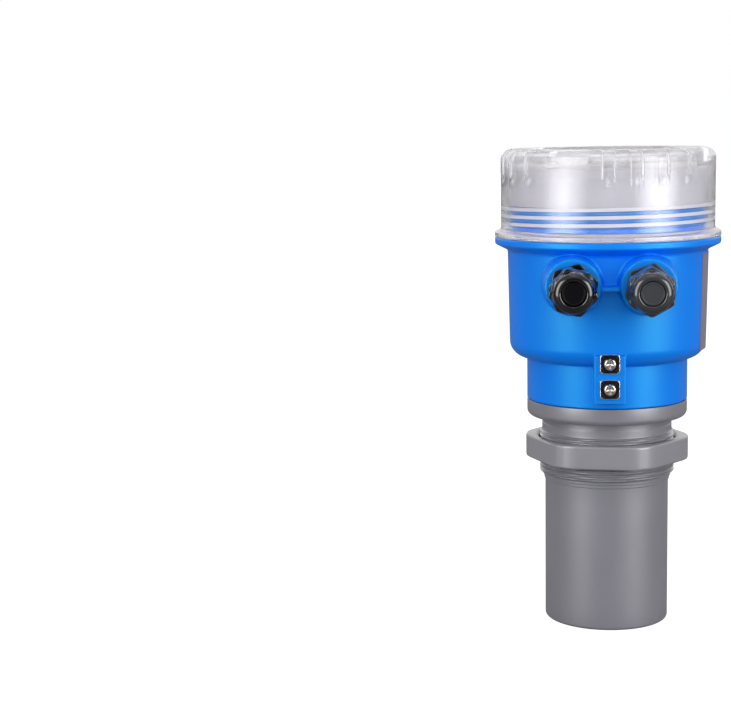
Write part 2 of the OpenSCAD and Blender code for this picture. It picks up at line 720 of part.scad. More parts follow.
module lid_inside() difference() {
    rotate_extrude() polygon([
        [0, lid_z - over], [lid_groove_r, lid_z - over], [lid_groove_r, lid_z + lid_groove_h],
        [lid_bore_r, lid_z + lid_groove_h], [lid_bore_r, lid_top - window_t - ceiling_bevel],
        [lid_bore_r - ceiling_bevel, lid_top - window_t],
        [rim_inner_d / 2 + window_t, lid_top - window_t],
        [window_d / 2 + window_t, ceiling_z], [0, ceiling_z]]);
    for (i = [0:channel_count - 1]) translate([0, 0, ceiling_z])
        sector(channel_turn + i * segment_deg, channel_deg + 2 * channel_wall_deg,
               window_d / 2, lid_r + over, rim_depth + window_t);
}

module lid() color("lavender") difference() {
    union() {
        difference() {
            lid_outside(0);
            for (i = [0:channel_count - 1], k = [0:flute_count - 1])
                facing(channel_turn + (i + 0.5) * segment_deg + (k - (flute_count - 1) / 2) * flute_step)
                    flute();
        }
        lid_outside(flute_depth);
    }
    for (i = [0:channel_count - 1]) translate([0, 0, window_z])
        sector(channel_turn + i * segment_deg, channel_deg, window_d / 2 - 1, flange_r, rim_depth + over);
    for (i = [0:stop_count - 1]) facing(stop_turn + i * 360 / stop_count)
        translate([flange_r - stop_depth, -stop_w / 2, lid_z - over])
            cube([stop_depth + over, stop_w, stop_h + over]);
    lid_inside();
}

transducer_body();
matching_layer();
piezo_disc();
potting();
temperature_sensor();
transducer_wires();
lock_nut();
collar_seal();
housing();
gland_washer(-1);  // gland_washer_left
gland_washer(1);  // gland_washer_right
gland_body(-1);  // gland_body_left
gland_body(1);  // gland_body_right
gland_seal(-1);  // gland_seal_left
gland_seal(1);  // gland_seal_right
gland_plug(-1);  // gland_plug_left
gland_plug(1);  // gland_plug_right
gland_nut(-1);  // gland_nut_left
gland_nut(1);  // gland_nut_right
earth_inserts();
earth_washers();
earth_screws();
main_board();
board_screws();
terminal_block();
drive_transformer();
capacitors();
ribbon_cable();
display_carrier();
carrier_screws();
display_board();
lcd_panel();
key_switches();
display_screws();
key(-1);  // set_key
key(0);  // up_key
key(1);  // down_key
lid_seal();
lid();
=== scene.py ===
"""Ultrasonic level sensor: a grey transducer, a blue housing and a clear lid over a display.

Sizes are in millimetres in the part's own frame: +Z up, glands towards -Y. Angles about
the axis run from -Y towards +X.
"""

import math
from functools import partial

import bpy
import bmesh
import numpy as np
from mathutils import Matrix, Vector

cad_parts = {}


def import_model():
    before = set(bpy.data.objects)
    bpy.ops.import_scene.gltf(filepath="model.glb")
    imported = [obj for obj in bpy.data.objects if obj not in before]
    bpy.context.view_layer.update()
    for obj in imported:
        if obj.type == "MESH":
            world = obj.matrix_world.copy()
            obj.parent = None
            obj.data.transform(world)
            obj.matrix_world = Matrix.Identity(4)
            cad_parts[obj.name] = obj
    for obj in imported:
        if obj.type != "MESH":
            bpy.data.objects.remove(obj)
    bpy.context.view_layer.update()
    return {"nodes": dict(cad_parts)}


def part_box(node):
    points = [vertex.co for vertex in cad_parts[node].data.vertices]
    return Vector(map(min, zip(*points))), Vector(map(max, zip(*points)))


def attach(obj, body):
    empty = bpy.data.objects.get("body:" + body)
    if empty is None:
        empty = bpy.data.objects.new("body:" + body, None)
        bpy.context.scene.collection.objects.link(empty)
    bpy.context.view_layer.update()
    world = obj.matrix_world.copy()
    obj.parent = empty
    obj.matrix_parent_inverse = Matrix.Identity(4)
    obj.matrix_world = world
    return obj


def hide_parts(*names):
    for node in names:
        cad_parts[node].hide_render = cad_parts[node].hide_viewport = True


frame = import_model()
nodes = frame["nodes"]

MM = 0.001
TURN = 2 * math.pi

# Gap between pieces that move, and a distance that is far outside every piece
RUNNING_GAP = 0.2
FAR = 1e3


def span(node):
    """Lowest and highest corner of a node, in millimetres."""
    low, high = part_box(node)
    return np.array(low) / MM, np.array(high) / MM


# Levels and radii that the frame holds
LID_LOW, LID_HIGH = span("lid")
HOUSING_LOW, HOUSING_HIGH = span("housing")
COLLAR_R, _, SPIGOT_TOP = span("transducer_body")[1]
CARRIER_TOP = span("display_carrier")[1][2]
LID_Z, LID_TOP = LID_LOW[2], LID_HIGH[2]
FLANGE_R = LID_HIGH[0]
BODY_Z, NECK_TOP = HOUSING_LOW[2], HOUSING_HIGH[2]
BOSS_REACH = -HOUSING_LOW[1]
FLANGE_TOP = LID_Z - RUNNING_GAP

# Transducer
BARREL_R = 27.5
BARREL_H = 66.5
BARREL_EDGE = 1.5
RING_DROPS = (2.4, 0.9)
RING_STEP = 0.45
RING_SLOPE = 0.2
RING_EDGE = 0.2
THREAD_R = 30.0
THREAD_L = 22.0
THREAD_PITCH = 2.0
THREAD_DEPTH = 1.1
THREAD_RUNOUT = 2.6
RUNOUT_FADE = 0.8
THREAD_TAIL = 1.2
LEAD_FROM = 0.4
LEAD_STEP = 1.25
RELIEF_R = 28.7
RELIEF_H = 4.5
RELIEF_EDGE = 0.3
COLLAR_EDGE = 2.6
SEAM_EDGE = 0.12
WELL_R = 23.5
FACE_T = 3.2
SPIGOT_R = 31.2
SPIGOT_EDGE = 0.4
SEAL_GROOVE_R = 28.9
SEAL_GROOVE_H = 2.6
COLLAR_Z = BARREL_H + THREAD_L + RELIEF_H

# Lock nut
NUT_FLATS = 67.2
NUT_CORNER_R = 36.2
NUT_TURN = math.radians(-5.5)
NUT_BORE_R = 30.2
NUT_EDGE = 0.9
NUT_CORNER_EDGE = 1.5
NUT_BORE_EDGE = 0.2
NUT_LEAD = 1.2
NUT_LEAD_LEAN = 0.707

# Housing
STEP_Z = BODY_Z + 19.2
FLOOR_Z = STEP_Z + 3.2
BODY_R = 43.2
BODY_TOP_R = 44.3
BODY_CORNER = 7.0
BODY_DROP = 0.6
SKIRT_OVERLAP = 9.0
STEP_FILLET = 0.5
FLANGE_SLOPE = 2.7
FLANGE_T = 3.0
FLANGE_EDGE = 0.5
FLANGE_LEAN = 0.44
FLANGE_FILLET = 0.8
NECK_R = 43.0
NECK_FROM = STEP_Z + 20.0
NECK_EDGE = 0.9
NECK_FILLET = 0.3
NECK_ROOT_R = NECK_R - 0.6
NECK_CREST_R = NECK_R + 0.2
NECK_THREAD_TO = NECK_TOP - 1.0
NECK_THREAD_FADE = 0.6
NECK_THREAD_T = 0.6
CHAMBER_R = 40.0
CHAMBER_EDGE = 0.5
SKIRT_BORE_R = 31.5
FLOOR_HOLE_R = 20.9
BOSS_R = 11.8
BOSS_ROOT_R = 15.0
BOSS_EDGE = 0.5
BOSS_FILLET = 1.0
WEB_T = 1.6
WEB_DROP = 1.2
WEB_SETBACK = 1.0
WEB_EDGE = 0.4
WEB_FILLET = 0.8
ENTRY_R = 8.1
ENTRY_EDGE = 0.3
PAD_W = 13.4
PAD_H = 21.2
PAD_RISE = 3.7
PAD_REACH = 44.3
PAD_CORNER = 0.6
PAD_EDGE = 0.5
PAD_FILLET = 0.4
INSERT_R = 2.6
INSERT_L = 7.0

# Label plate on the housing's side, in degrees round the axis and levels above the step
LABEL_FROM, LABEL_TO = 66, 133
LABEL_LOW, LABEL_HIGH = 4.1, 46.6
LABEL_SUNK, LABEL_LIFT = -0.3, 0.25

# Glands, along their axis from the boss face
GLAND_X, _, GLAND_Z = sum(span("gland_plug_right")) / 2
GLAND_SIDES = {"left": -1, "right": 1}
HEX_FLATS = 19.0
HEX_CORNER_R = 10.7
HEX_FROM, HEX_TO = 1.2, 6.3
HEX_CORNER_EDGE = 0.6
HEX_EDGE = 0.5
CLAMP_R = 7.4
CLAMP_TO = 17.0
CLAMP_PITCH = 1.5
CLAMP_DEPTH = 0.55
GLAND_BORE_R = 5.6
ENTRY_L = 12.0
ENTRY_GAP = 0.1
CAP_FROM, CAP_SHOULDER, CAP_TO = 9.9, 20.8, 26.8
CAP_FLATS = 18.2
CAP_CORNER_R = 10.4
CAP_CORNER_EDGE = 0.8
CAP_EDGE = 0.6
CAP_FILLET = 0.4
CAP_DOME_R = 8.9
CAP_SIDE_R = 8.3
CAP_ROUND = 2.3
CAP_MOUTH_R = 5.05
CAP_MOUTH_EDGE = 0.85
CAP_BORE_R = 7.6
CAP_BORE_TO = 19.0
PLUG_R = 4.85
PLUG_FLANGE_R = 6.15
PLUG_FLANGE_T = 1.5
PLUG_LIP = CAP_TO - 4.1
PLUG_DISH = 0.25
PLUG_RIM_W = 0.7
PLUG_RIM_SLOPE = 0.2
CAP_TURN = {"left": math.radians(47), "right": math.radians(30)}
HEX_TURN = {"left": math.radians(17), "right": math.radians(20)}

# Display carrier
KEYPAD_Z = CARRIER_TOP - 0.5
MARK_SUNK, MARK_LIFT = -0.1, 0.12
MARK_OFFSET = 4.4

# Earth terminal
EARTH_W = 8.4
EARTH_CORNER = 1.3
EARTH_EDGE = 0.25
EARTH_T = 0.9
EARTH_RIM = 0.5
EARTH_RIM_W = 0.35
EARTH_HOLE_R = 1.6
EARTH_SHANK_R = 1.45
EARTH_HEAD_R = 2.6
EARTH_HEAD_H = 2.0
EARTH_HEAD_EDGE = 0.95
EARTH_FIRST = BODY_Z + PAD_RISE + 6.7
EARTH_Z = [EARTH_FIRST, EARTH_FIRST + 10.9]
CROSS_W = 0.84
CROSS_REACH = 1.75
CROSS_TAPER = 0.25
CROSS_DEPTH = 1.4
CROSS_CONE_R = 1.9

# Lid
LID_R = 47.1
LID_FLANGE_H = 1.9
LID_SLOPE_H = 1.6
LID_EDGE = 4.6
LID_WALL = 2.9
RIM_DEPTH = 3.4
WINDOW_R = 30.0
RIM_INNER_R = 33.0
WINDOW_T = 2.6
CHANNELS = 4
CHANNEL_DEG = 18.0
CHANNEL_TURN = -24.0
CHANNEL_WALL_DEG = 3.0
FLUTES = 4
FLUTE_STEP = 14.8
FLUTE_W = 5.1
FLUTE_DEPTH = 1.3
FLUTE_L = 13.4
FLUTE_TOP_L = 8.5
FLUTE_EDGE = 0.35
FLUTE_REACH_DEG = 3.2
STOPS = 6
STOP_TURN = 9.0
STOP_W = 5.0
STOP_DEPTH = 1.2
STOP_SHARE = 0.75
LID_PITCH = 3.3
LID_GROOVE_R = 45.8
LID_GROOVE_H = 2.8
WINDOW_Z = LID_TOP - RIM_DEPTH
CEILING_Z = WINDOW_Z - WINDOW_T
LID_BORE_R = LID_R - LID_WALL
LID_THREAD_FROM = LID_Z + 5.2
LID_RIDGE = 0.7
LID_RIDGE_W = 0.7
LID_RIDGE_ROOT_W = 1.5
LID_RIDGE_TURNS = (-0.35, 2.35)
LID_RIDGE_FADE = 0.06
LID_RIDGE_SUNK = 0.15

# Milkiness of the clear lid, from 0 to 1: an even satin finish, and painted light that whitens the flute
# outlines, foot, shoulder and crown
SATIN = 0.25
OUTLINE_PAINTED_HIGHLIGHT = 0.70
FOOT_PAINTED_LIGHT = 0.22
SHOULDER_PAINTED_LIGHT = 0.24
CROWN_PAINTED_LIGHT = 0.18

# Columns of the lid's mesh in degrees: plain wall, inside a flute, at edges, and the least
LID_COLUMN = 1.8
LID_FLUTE_COLUMN = 0.62
LID_EDGE_COLUMN = 0.34
LID_LEAST_COLUMN = 0.12

# Cells of the grids that pieces are meshed on
NUT_CELL = 0.45
HOUSING_CELL = 0.7
GLAND_CELL = 0.3
CLAMP_CELL = 0.25
WASHER_CELL = 0.2
SCREW_CELL = 0.13


# Meshes

def mesh_object(name, points, faces, normals=None):
    """Smooth-shaded mesh object from points in millimetres."""
    mesh = bpy.data.meshes.new(name)
    mesh.from_pydata((np.asarray(points, float) * MM).tolist(), [], faces)
    mesh.polygons.foreach_set("use_smooth", [True] * len(mesh.polygons))
    if normals is not None:
        mesh.normals_split_custom_set_from_vertices(np.asarray(normals, float).tolist())
    piece = bpy.data.objects.new(name, mesh)
    bpy.context.scene.collection.objects.link(piece)
    return piece


def place_piece(piece, body, material, replaced=None):
    """Puts a new piece on its body, with its finish and the node that it stands for."""
    piece.data.materials.clear()
    piece.data.materials.append(material)
    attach(piece, body)
    if replaced:
        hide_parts(replaced)


def filleted(corners, arc_steps=6):
    """Path through (r, z, rounding) corners, with each rounded corner as an arc."""
    path = []
    for i, corner in enumerate(corners):
        at = np.array(corner[:2], float)
        rounding = corner[2] if len(corner) > 2 else 0
        if not rounding:
            path.append(at)
            continue
        before = np.array(corners[i - 1][:2], float) - at
        after = np.array(corners[(i + 1) % len(corners)][:2], float) - at
        before /= np.linalg.norm(before)
        after /= np.linalg.norm(after)
        half = math.acos(np.clip(before @ after, -1, 1)) / 2
        reach = rounding / math.tan(half)
        middle = before + after
        centre = at + middle / np.linalg.norm(middle) * rounding / math.sin(half)
        first, last = at + before * reach - centre, at + after * reach - centre
        turn = math.acos(np.clip(first @ last / rounding ** 2, -1, 1))
        for k in range(arc_steps + 1):
            t = k / arc_steps
            swung = first * math.sin((1 - t) * turn) + last * math.sin(t * turn)
            path.append(centre + swung / math.sin(turn))
    return np.array(path)


def divided(path, longest):
    """The same path with no step longer than longest(r, z)."""
    points = [path[0]]
    for a, b in zip(path[:-1], path[1:]):
        count = max(1, math.ceil(np.linalg.norm(b - a) / longest(*((a + b) / 2))))
        points += [a + (b - a) * k / count for k in range(1, count + 1)]
    return np.array(points)


def polar_mesh(name, radii, levels, angles, ring=False, satin_and_painted_light=None):
    """Sheet of points round the axis that hold their satin and painted light; a ring's last row meets its
    first.
    """
    rows, columns = radii.shape
    points = np.stack([radii * np.sin(angles), -radii * np.cos(angles), levels], -1).reshape(-1, 3)
    row = np.arange(rows if ring else rows - 1)[:, None]
    column = np.arange(columns)[None, :]
    above, beside = (row + 1) % rows, (column + 1) % columns
    corners = [row * columns + column, row * columns + beside,
               above * columns + beside, above * columns + column]
    faces = np.stack(np.broadcast_arrays(*corners), -1).reshape(-1, 4)
    piece = mesh_object(name, points, faces.tolist())
    if satin_and_painted_light is not None:
        piece.data.attributes.new("satin_and_painted_light", "FLOAT", "POINT").data.foreach_set("value", satin_and_painted_light.ravel())
    tidy = bmesh.new()
    tidy.from_mesh(piece.data)
    bmesh.ops.remove_doubles(tidy, verts=tidy.verts, dist=1e-7)
    bmesh.ops.recalc_face_normals(tidy, faces=tidy.faces)
    tidy.to_mesh(piece.data)
    tidy.free()
    return piece


def full_turn(columns):
    """Evenly spaced angles round the axis."""
    return np.linspace(0, TURN, columns, endpoint=False)


def swept(path, angles):
    """Radii and levels of a path of (r, z) points at each angle."""
    return np.repeat(path[:, :1], len(angles), 1), np.repeat(path[:, 1:], len(angles), 1)


def sharpen(piece, degrees=35):
    """Keeps edges over this angle crisp."""
    piece.data.set_sharp_from_angle(angle=math.radians(degrees))


# Solids as distance fields

def fillet_union(a, b, rounding):
    """Both solids, with a fillet where they meet."""
    corner = np.hypot(np.maximum(rounding - a, 0), np.maximum(rounding - b, 0))
    return np.maximum(rounding, np.minimum(a, b)) - corner


def round_common(a, b, rounding):
    """What two solids share, with its edges rounded."""
    corner = np.hypot(np.maximum(rounding + a, 0), np.maximum(rounding + b, 0))
    return np.minimum(-rounding, np.maximum(a, b)) + corner


def round_cut(a, b, rounding):
    """The first solid without the second, with the cut's edges rounded."""
    return round_common(a, -b, rounding)


def slab(value, low, high):
    """What lies between two levels."""
    return np.maximum(low - value, value - high)


def cut(a, b):
    """The first solid without the second, with sharp edges."""
    return np.maximum(a, -b)


def hexagon(x, y, flats, turn):
    """Distance to a hexagon with a corner along +x when turn is 0."""
    c, s = math.cos(-turn), math.sin(-turn)
    x, y = np.abs(c * x - s * y), np.abs(s * x + c * y)
    return np.maximum(y, x * math.sqrt(3) / 2 + y / 2) - flats / 2


def gradient(field, points, step=0.02):
    """Slope of a field at each point."""
    parts = []
    for axis in np.eye(3) * step:
        parts.append(field(*(points + axis).T) - field(*(points - axis).T))
    return np.stack(parts, -1) / (2 * step)


def net_mesh(name, field, grids, place=np.asarray, wrap=False):
    """Mesh of the surface where field is 0, on a grid that place() maps to millimetres."""
    axes = [np.asarray(g, float) for g in grids]
    if wrap:
        axes[0] = np.append(axes[0], axes[0][0] + TURN)
    grid = np.stack(np.meshgrid(*axes, indexing="ij"), -1)
    values = field(*np.moveaxis(place(grid), -1, 0))
    counts = [n - 1 for n in values.shape]

    def corner(array, offset):
        return array[tuple(slice(o, o + n) for o, n in zip(offset, counts))]

    total = np.zeros(counts + [3])
    crossings = np.zeros(counts)
    for axis in range(3):
        others = [a for a in range(3) if a != axis]
        for offset in ((0, 0), (0, 1), (1, 0), (1, 1)):
            start = [0, 0, 0]
            start[others[0]], start[others[1]] = offset
            end = list(start)
            end[axis] = 1
            a, b = corner(values, start), corner(values, end)
            hit = (a < 0) != (b < 0)
            share = np.where(hit, a / np.where(hit, a - b, 1), 0)[..., None]
            at = corner(grid, start) * (1 - share) + corner(grid, end) * share
            total += np.where(hit[..., None], at, 0)
            crossings += hit
    active = crossings > 0
    number = np.full(counts, -1)
    number[active] = np.arange(active.sum())
    points = place(total[active] / crossings[active][:, None])
    for _ in range(5):
        slope = gradient(field, points)
        step = field(*points.T)[:, None] * slope / np.maximum((slope ** 2).sum(1), 0.2)[:, None]
        points = points - np.clip(step, -0.4, 0.4)

    faces = []
    for axis in range(3):
        others = [a for a in range(3) if a != axis]
        edges = np.argwhere(np.diff(values < 0, axis=axis))
        quad = []
        for first, second in ((-1, -1), (0, -1), (0, 0), (-1, 0)):
            cell = edges.copy()
            cell[:, others[0]] += first
            cell[:, others[1]] += second
            quad.append(cell)
        quad = np.stack(quad, 1)
        if wrap and axis != 0:
            quad = quad[quad[:, 2, 0] < counts[0]]
            quad[:, :, 0] %= counts[0]
        quad = quad[((quad >= 0) & (quad < counts)).all((1, 2))]
        faces.append(number[quad[..., 0], quad[..., 1], quad[..., 2]])
    faces = np.concatenate(faces)
    normals = gradient(field, points)
    normals /= np.linalg.norm(normals, axis=1)[:, None]
    across = np.cross(points[faces[:, 2]] - points[faces[:, 0]], points[faces[:, 3]] - points[faces[:, 1]])
    flip = (across * normals[faces].sum(1)).sum(1) < 0
    faces[flip] = faces[flip][:, ::-1]
    return mesh_object(name, points, faces.tolist(), normals)


def steps(low, high, size):
    """Even steps of about this size, with both ends."""
    return np.linspace(low, high, max(2, round((high - low) / size) + 1))


def round_axis(grid):
    """(angle, radius, height) about the part's axis."""
    angle, radius, height = np.moveaxis(grid, -1, 0)
    return np.stack([radius * np.sin(angle), -radius * np.cos(angle), height], -1)


def round_gland(side):
    """(angle, radius, height) about a gland's axis, with the height along -Y from the boss face."""
    def place(grid):
        angle, radius, height = np.moveaxis(grid, -1, 0)
        across, up = radius * np.cos(angle), radius * np.sin(angle)
        return np.stack([side * GLAND_X + across, -BOSS_REACH - height, GLAND_Z + up], -1)
    return place


# Materials

def feed(tree, socket, value):
    """Links another node's output to a socket, or sets the socket's own value."""
    if isinstance(value, bpy.types.NodeSocket):
        tree.links.new(value, socket)
    else:
        socket.default_value = value


def set_inputs(tree, node, **inputs):
    """Feeds a node's inputs; underscores stand for the spaces in their names."""
    for name, value in inputs.items():
        feed(tree, node.inputs[name.replace("_", " ")], value)


def new_node(tree, kind, output, **inputs):
    """Output of a new shader node with these inputs."""
    made = tree.nodes.new("ShaderNode" + kind)
    set_inputs(tree, made, **inputs)
    return made.outputs[output]


def new_material(name):
    """Material with its node tree and main shader."""
    made = bpy.data.materials.new(name)
    made.use_nodes = True
    return made, made.node_tree, made.node_tree.nodes["Principled BSDF"]


def noise(tree, scale, detail=4.0, stretch=None):
    """Noise over the object's own coordinates, with scale in waves per metre."""
    where = new_node(tree, "TexCoord", "Object")
    if stretch:
        where = new_node(tree, "Mapping", "Vector", Scale=stretch, Vector=where)
    return new_node(tree, "TexNoise", "Fac", Scale=scale, Detail=detail, Vector=where)


def calculated(tree, operation, first, second=0.0):
    """Output of a math node on two sockets or numbers."""
    step = tree.nodes.new("ShaderNodeMath")
    step.operation = operation
    feed(tree, step.inputs[0], first)
    feed(tree, step.inputs[1], second)
    return step.outputs["Value"]


def mapped(tree, value, low, high, start=0.0, end=1.0, kind="LINEAR"):
    """Value that goes from low to high as another goes from start to end."""
    ramp = tree.nodes.new("ShaderNodeMapRange")
    ramp.interpolation_type = kind
    set_inputs(tree, ramp, Value=value, From_Min=start, From_Max=end, To_Min=low, To_Max=high)
    return ramp.outputs["Result"]


def two_tone(tree, value, first, last, start=0.0, end=1.0):
    """Colour that goes from the first to the last as a value goes from start to end."""
    ramp = tree.nodes.new("ShaderNodeValToRGB")
    for element, colour, position in zip(ramp.color_ramp.elements, (first, last), (start, end)):
        element.color = (*colour, 1)
        element.position = position
    set_inputs(tree, ramp, Fac=value)
    return ramp.outputs["Color"]


def bumped(tree, height, strength, depth):
    """Normal roughened by a height, with its depth in millimetres."""
    return new_node(tree, "Bump", "Normal", Strength=strength, Distance=depth * MM, Height=height)


def moulded(name, colour, roughness, spread=0.05, mottle=40, grain=1500, depth=0.02, metallic=0.0,
            stretch=None, **sockets):
    """Solid finish with slow colour drift, fine grain and a little change of gloss."""
    made, tree, shader = new_material(name)
    dark = [c * (1 - spread) for c in colour]
    pale = [min(1, c * (1 + spread)) for c in colour]
    tone = two_tone(tree, noise(tree, mottle), dark, pale, 0.3, 0.7)
    gloss = mapped(tree, noise(tree, mottle * 3), roughness * 0.88, roughness * 1.12)
    normal = bumped(tree, noise(tree, grain, stretch=stretch), 0.35, depth)
    set_inputs(tree, shader, Base_Color=tone, Roughness=gloss, Normal=normal, Metallic=metallic, **sockets)
    return made


def clear_plastic():
    """Clear polycarbonate with faint flow marks: an attribute makes it satin, then milky; past its even
    satin finish the milkiness is painted light.
    """
    made, tree, shader = new_material("clear_polycarbonate")
    satin_and_painted_light = tree.nodes.new("ShaderNodeAttribute")
    satin_and_painted_light.attribute_name = "satin_and_painted_light"
    milkiness_and_painted_light = satin_and_painted_light.outputs["Fac"]
    set_inputs(tree, shader, Base_Color=(0.975, 0.965, 0.99, 1), IOR=1.50,
               Roughness=mapped(tree, milkiness_and_painted_light, 0.04, 0.36),
               Transmission_Weight=mapped(tree, milkiness_and_painted_light, 0.975, 0.30, SATIN),
               Normal=bumped(tree, noise(tree, 120, 2.0), 0.25, 0.03))
    return made


def washer_with_painted_light():
    """Polished washer with painted light: a painted dark reflection over the dish inside a painted
    highlight on the raised rim.
    """
    made, tree, shader = new_material("washer_painted_light")
    where = new_node(tree, "TexCoord", "Object")
    step = partial(calculated, tree)
    level = new_node(tree, "SeparateXYZ", "Z", Vector=where)
    from_middle = step("ABSOLUTE", step("SUBTRACT", level, sum(EARTH_Z) / 2 * MM))
    up = step("ABSOLUTE", step("SUBTRACT", from_middle, (EARTH_Z[1] - EARTH_Z[0]) / 2 * MM))
    across = step("ABSOLUTE", new_node(tree, "SeparateXYZ", "X", Vector=where))
    corner = step("MULTIPLY", step("ADD", up, across), 0.585)
    edge = step("MAXIMUM", step("MAXIMUM", up, across), corner)
    # Painted highlight along the rim, widest at the corners, and painted dark reflection on the dish, set
    # in the base colour.
    painted_rim_highlight = mapped(tree, edge, 0, 1, (EARTH_W / 2 - 0.42) * MM, (EARTH_W / 2 - 0.26) * MM)
    tone = two_tone(tree, painted_rim_highlight, (0.060, 0.060, 0.066), (0.85, 0.83, 0.82))
    gloss = mapped(tree, noise(tree, 900), 0.14, 0.24)
    set_inputs(tree, shader, Base_Color=tone, Metallic=1.0, Roughness=gloss)
    return made


BLUE = moulded("blue_plastic", (0.0, 0.200, 0.92), 0.34, spread=0.03, grain=2200, depth=0.012,
               Specular_IOR_Level=1.0, Specular_Tint=(0.15, 0.9, 0.45, 1))
# Painted light: a lighter, paler copy of the housing's blue for the neck thread, so it shows brighter
# through the lid.
NECK_BLUE_PAINTED_LIGHTER = moulded("neck_plastic_painted_lighter", (0.0, 0.27, 0.80), 0.40, spread=0.03, grain=2200, depth=0.012,
                    Specular_IOR_Level=0.1)
GREY = moulded("grey_plastic", (0.208, 0.204, 0.240), 0.38, spread=0.04, grain=1800, depth=0.012,
               Specular_IOR_Level=1.0, Coat_Weight=1.0, Coat_Roughness=0.28)
NUT_GREY = moulded("nut_plastic", (0.262, 0.257, 0.292), 0.34, spread=0.04,
                   Specular_IOR_Level=1.0, Coat_Weight=0.6, Coat_Roughness=0.25)
# Painted light: the right gland's nylon is the same black nylon as the left's, painted lighter as a lit
# copy.
BLACK = {
    "left": moulded("black_nylon", (0.003, 0.003, 0.004), 0.10, spread=0.25, grain=1400, depth=0.01,
                    Specular_IOR_Level=0.9),
    "right": moulded("right_nylon_painted_lighter", (0.034, 0.035, 0.040), 0.11, spread=0.10, grain=1400, depth=0.01,
                     Specular_IOR_Level=0.8),
}
# Painted light: the right plug is the same black nylon as the left, painted lighter as a lit copy.
PLUG_BLACK = {
    "left": moulded("plug_nylon", (0.002, 0.002, 0.004), 0.30, spread=0.2, grain=1600, depth=0.01,
                    Specular_IOR_Level=0.2),
    "right": moulded("right_plug_painted_lighter", (0.050, 0.051, 0.058), 0.30, spread=0.1, grain=1600, depth=0.01,
                     Specular_IOR_Level=0.3),
}
NICKEL = moulded("nickel_plate", (0.74, 0.68, 0.64), 0.15, spread=0.06, mottle=400, grain=2500,
                 depth=0.01, metallic=1.0)
WASHER_PAINTED_LIGHT = washer_with_painted_light()
STEEL = moulded("zinc_steel", (0.62, 0.62, 0.60), 0.30, spread=0.06, mottle=300, grain=2500,
                depth=0.01, metallic=1.0)
BRASS = moulded("brass", (0.80, 0.58, 0.24), 0.28, spread=0.08, mottle=300, grain=2500,
                depth=0.01, metallic=1.0)
CLEAR = clear_plastic()
# Painted reflection: a whitened, half-opaque copy of the lid's clear plastic for its thread ridge,
# standing in for light reflected in the thread's flanks.
WHITE_PAINTED_REFLECTION = moulded("polycarbonate_painted_reflection", (0.93, 0.93, 0.96), 0.40, spread=0.02, grain=1800,
                  Transmission_Weight=0.3)
CARRIER = moulded("carrier_plastic", (0.47, 0.465, 0.50), 0.48, spread=0.03, grain=1800)
RUBBER = moulded("seal_rubber", (0.10, 0.10, 0.11), 0.60, spread=0.15, depth=0.04)
SILICONE = moulded("seal_silicone", (0.50, 0.47, 0.54), 0.50, spread=0.06)
KEY = moulded("key_rubber", (0.060, 0.060, 0.065), 0.50, spread=0.15, grain=1800, depth=0.03)
LCD = moulded("lcd_glass", (0.27, 0.285, 0.27), 0.30, spread=0.03, grain=900, depth=0.002, Coat_Weight=1.0,
              Coat_Roughness=0.04)
BOARD = moulded("board_mask", (0.010, 0.16, 0.060), 0.35, spread=0.15, mottle=200, grain=1200, depth=0.03)
TERMINAL = moulded("terminal_plastic", (0.06, 0.35, 0.09), 0.40, spread=0.06)
TAPE = moulded("transformer_tape", (0.62, 0.48, 0.12), 0.45, spread=0.08)
SLEEVE = moulded("capacitor_sleeve", (0.012, 0.018, 0.060), 0.30, spread=0.1)
RIBBON = moulded("ribbon_plastic", (0.42, 0.43, 0.45), 0.45, spread=0.06, stretch=(8, 1, 1))
RESIN = moulded("potting_resin", (0.030, 0.030, 0.032), 0.35, spread=0.2)
EPOXY = moulded("matching_epoxy", (0.55, 0.52, 0.38), 0.50, spread=0.08)
CERAMIC = moulded("piezo_ceramic", (0.58, 0.58, 0.55), 0.45)
WIRE = moulded("wire_insulation", (0.45, 0.02, 0.02), 0.40, spread=0.08)
PLATE = moulded("label_plate", (0.30, 0.27, 0.36), 0.38, grain=900,
                stretch=(1, 1, 20), metallic=0.4)
MARK = moulded("mark_ink", (0.30, 0.30, 0.33), 0.50)

NODE_FINISH = {
    "matching_layer": EPOXY, "piezo_disc": CERAMIC, "potting": RESIN, "temperature_sensor": RESIN,
    "transducer_wires": WIRE, "collar_seal": RUBBER, "gland_washer_left": RUBBER,
    "gland_washer_right": RUBBER, "gland_seal_left": RUBBER, "gland_seal_right": RUBBER,
    "earth_inserts": BRASS, "main_board": BOARD, "board_screws": STEEL, "terminal_block": TERMINAL,
    "drive_transformer": TAPE, "capacitors": SLEEVE, "ribbon_cable": RIBBON, "display_carrier": CARRIER,
    "carrier_screws": STEEL, "display_board": BOARD, "lcd_panel": LCD, "key_switches": KEY,
    "display_screws": STEEL, "set_key": KEY, "up_key": KEY, "down_key": KEY, "lid_seal": SILICONE,
}


def finish_nodes():
    """Finishes the nodes that show as the frame has them."""
    for name, finish in NODE_FINISH.items():
        mesh = nodes[name].data
        mesh.materials.clear()
        mesh.materials.append(finish)


# Pieces

def thread_wave(turns):
    """Thread form over one pitch: 1 on the crest, 0 at the root."""
    share = np.abs((turns % 1) - 0.5) * 2
    return np.clip((share - 0.2) / 0.6, 0, 1)


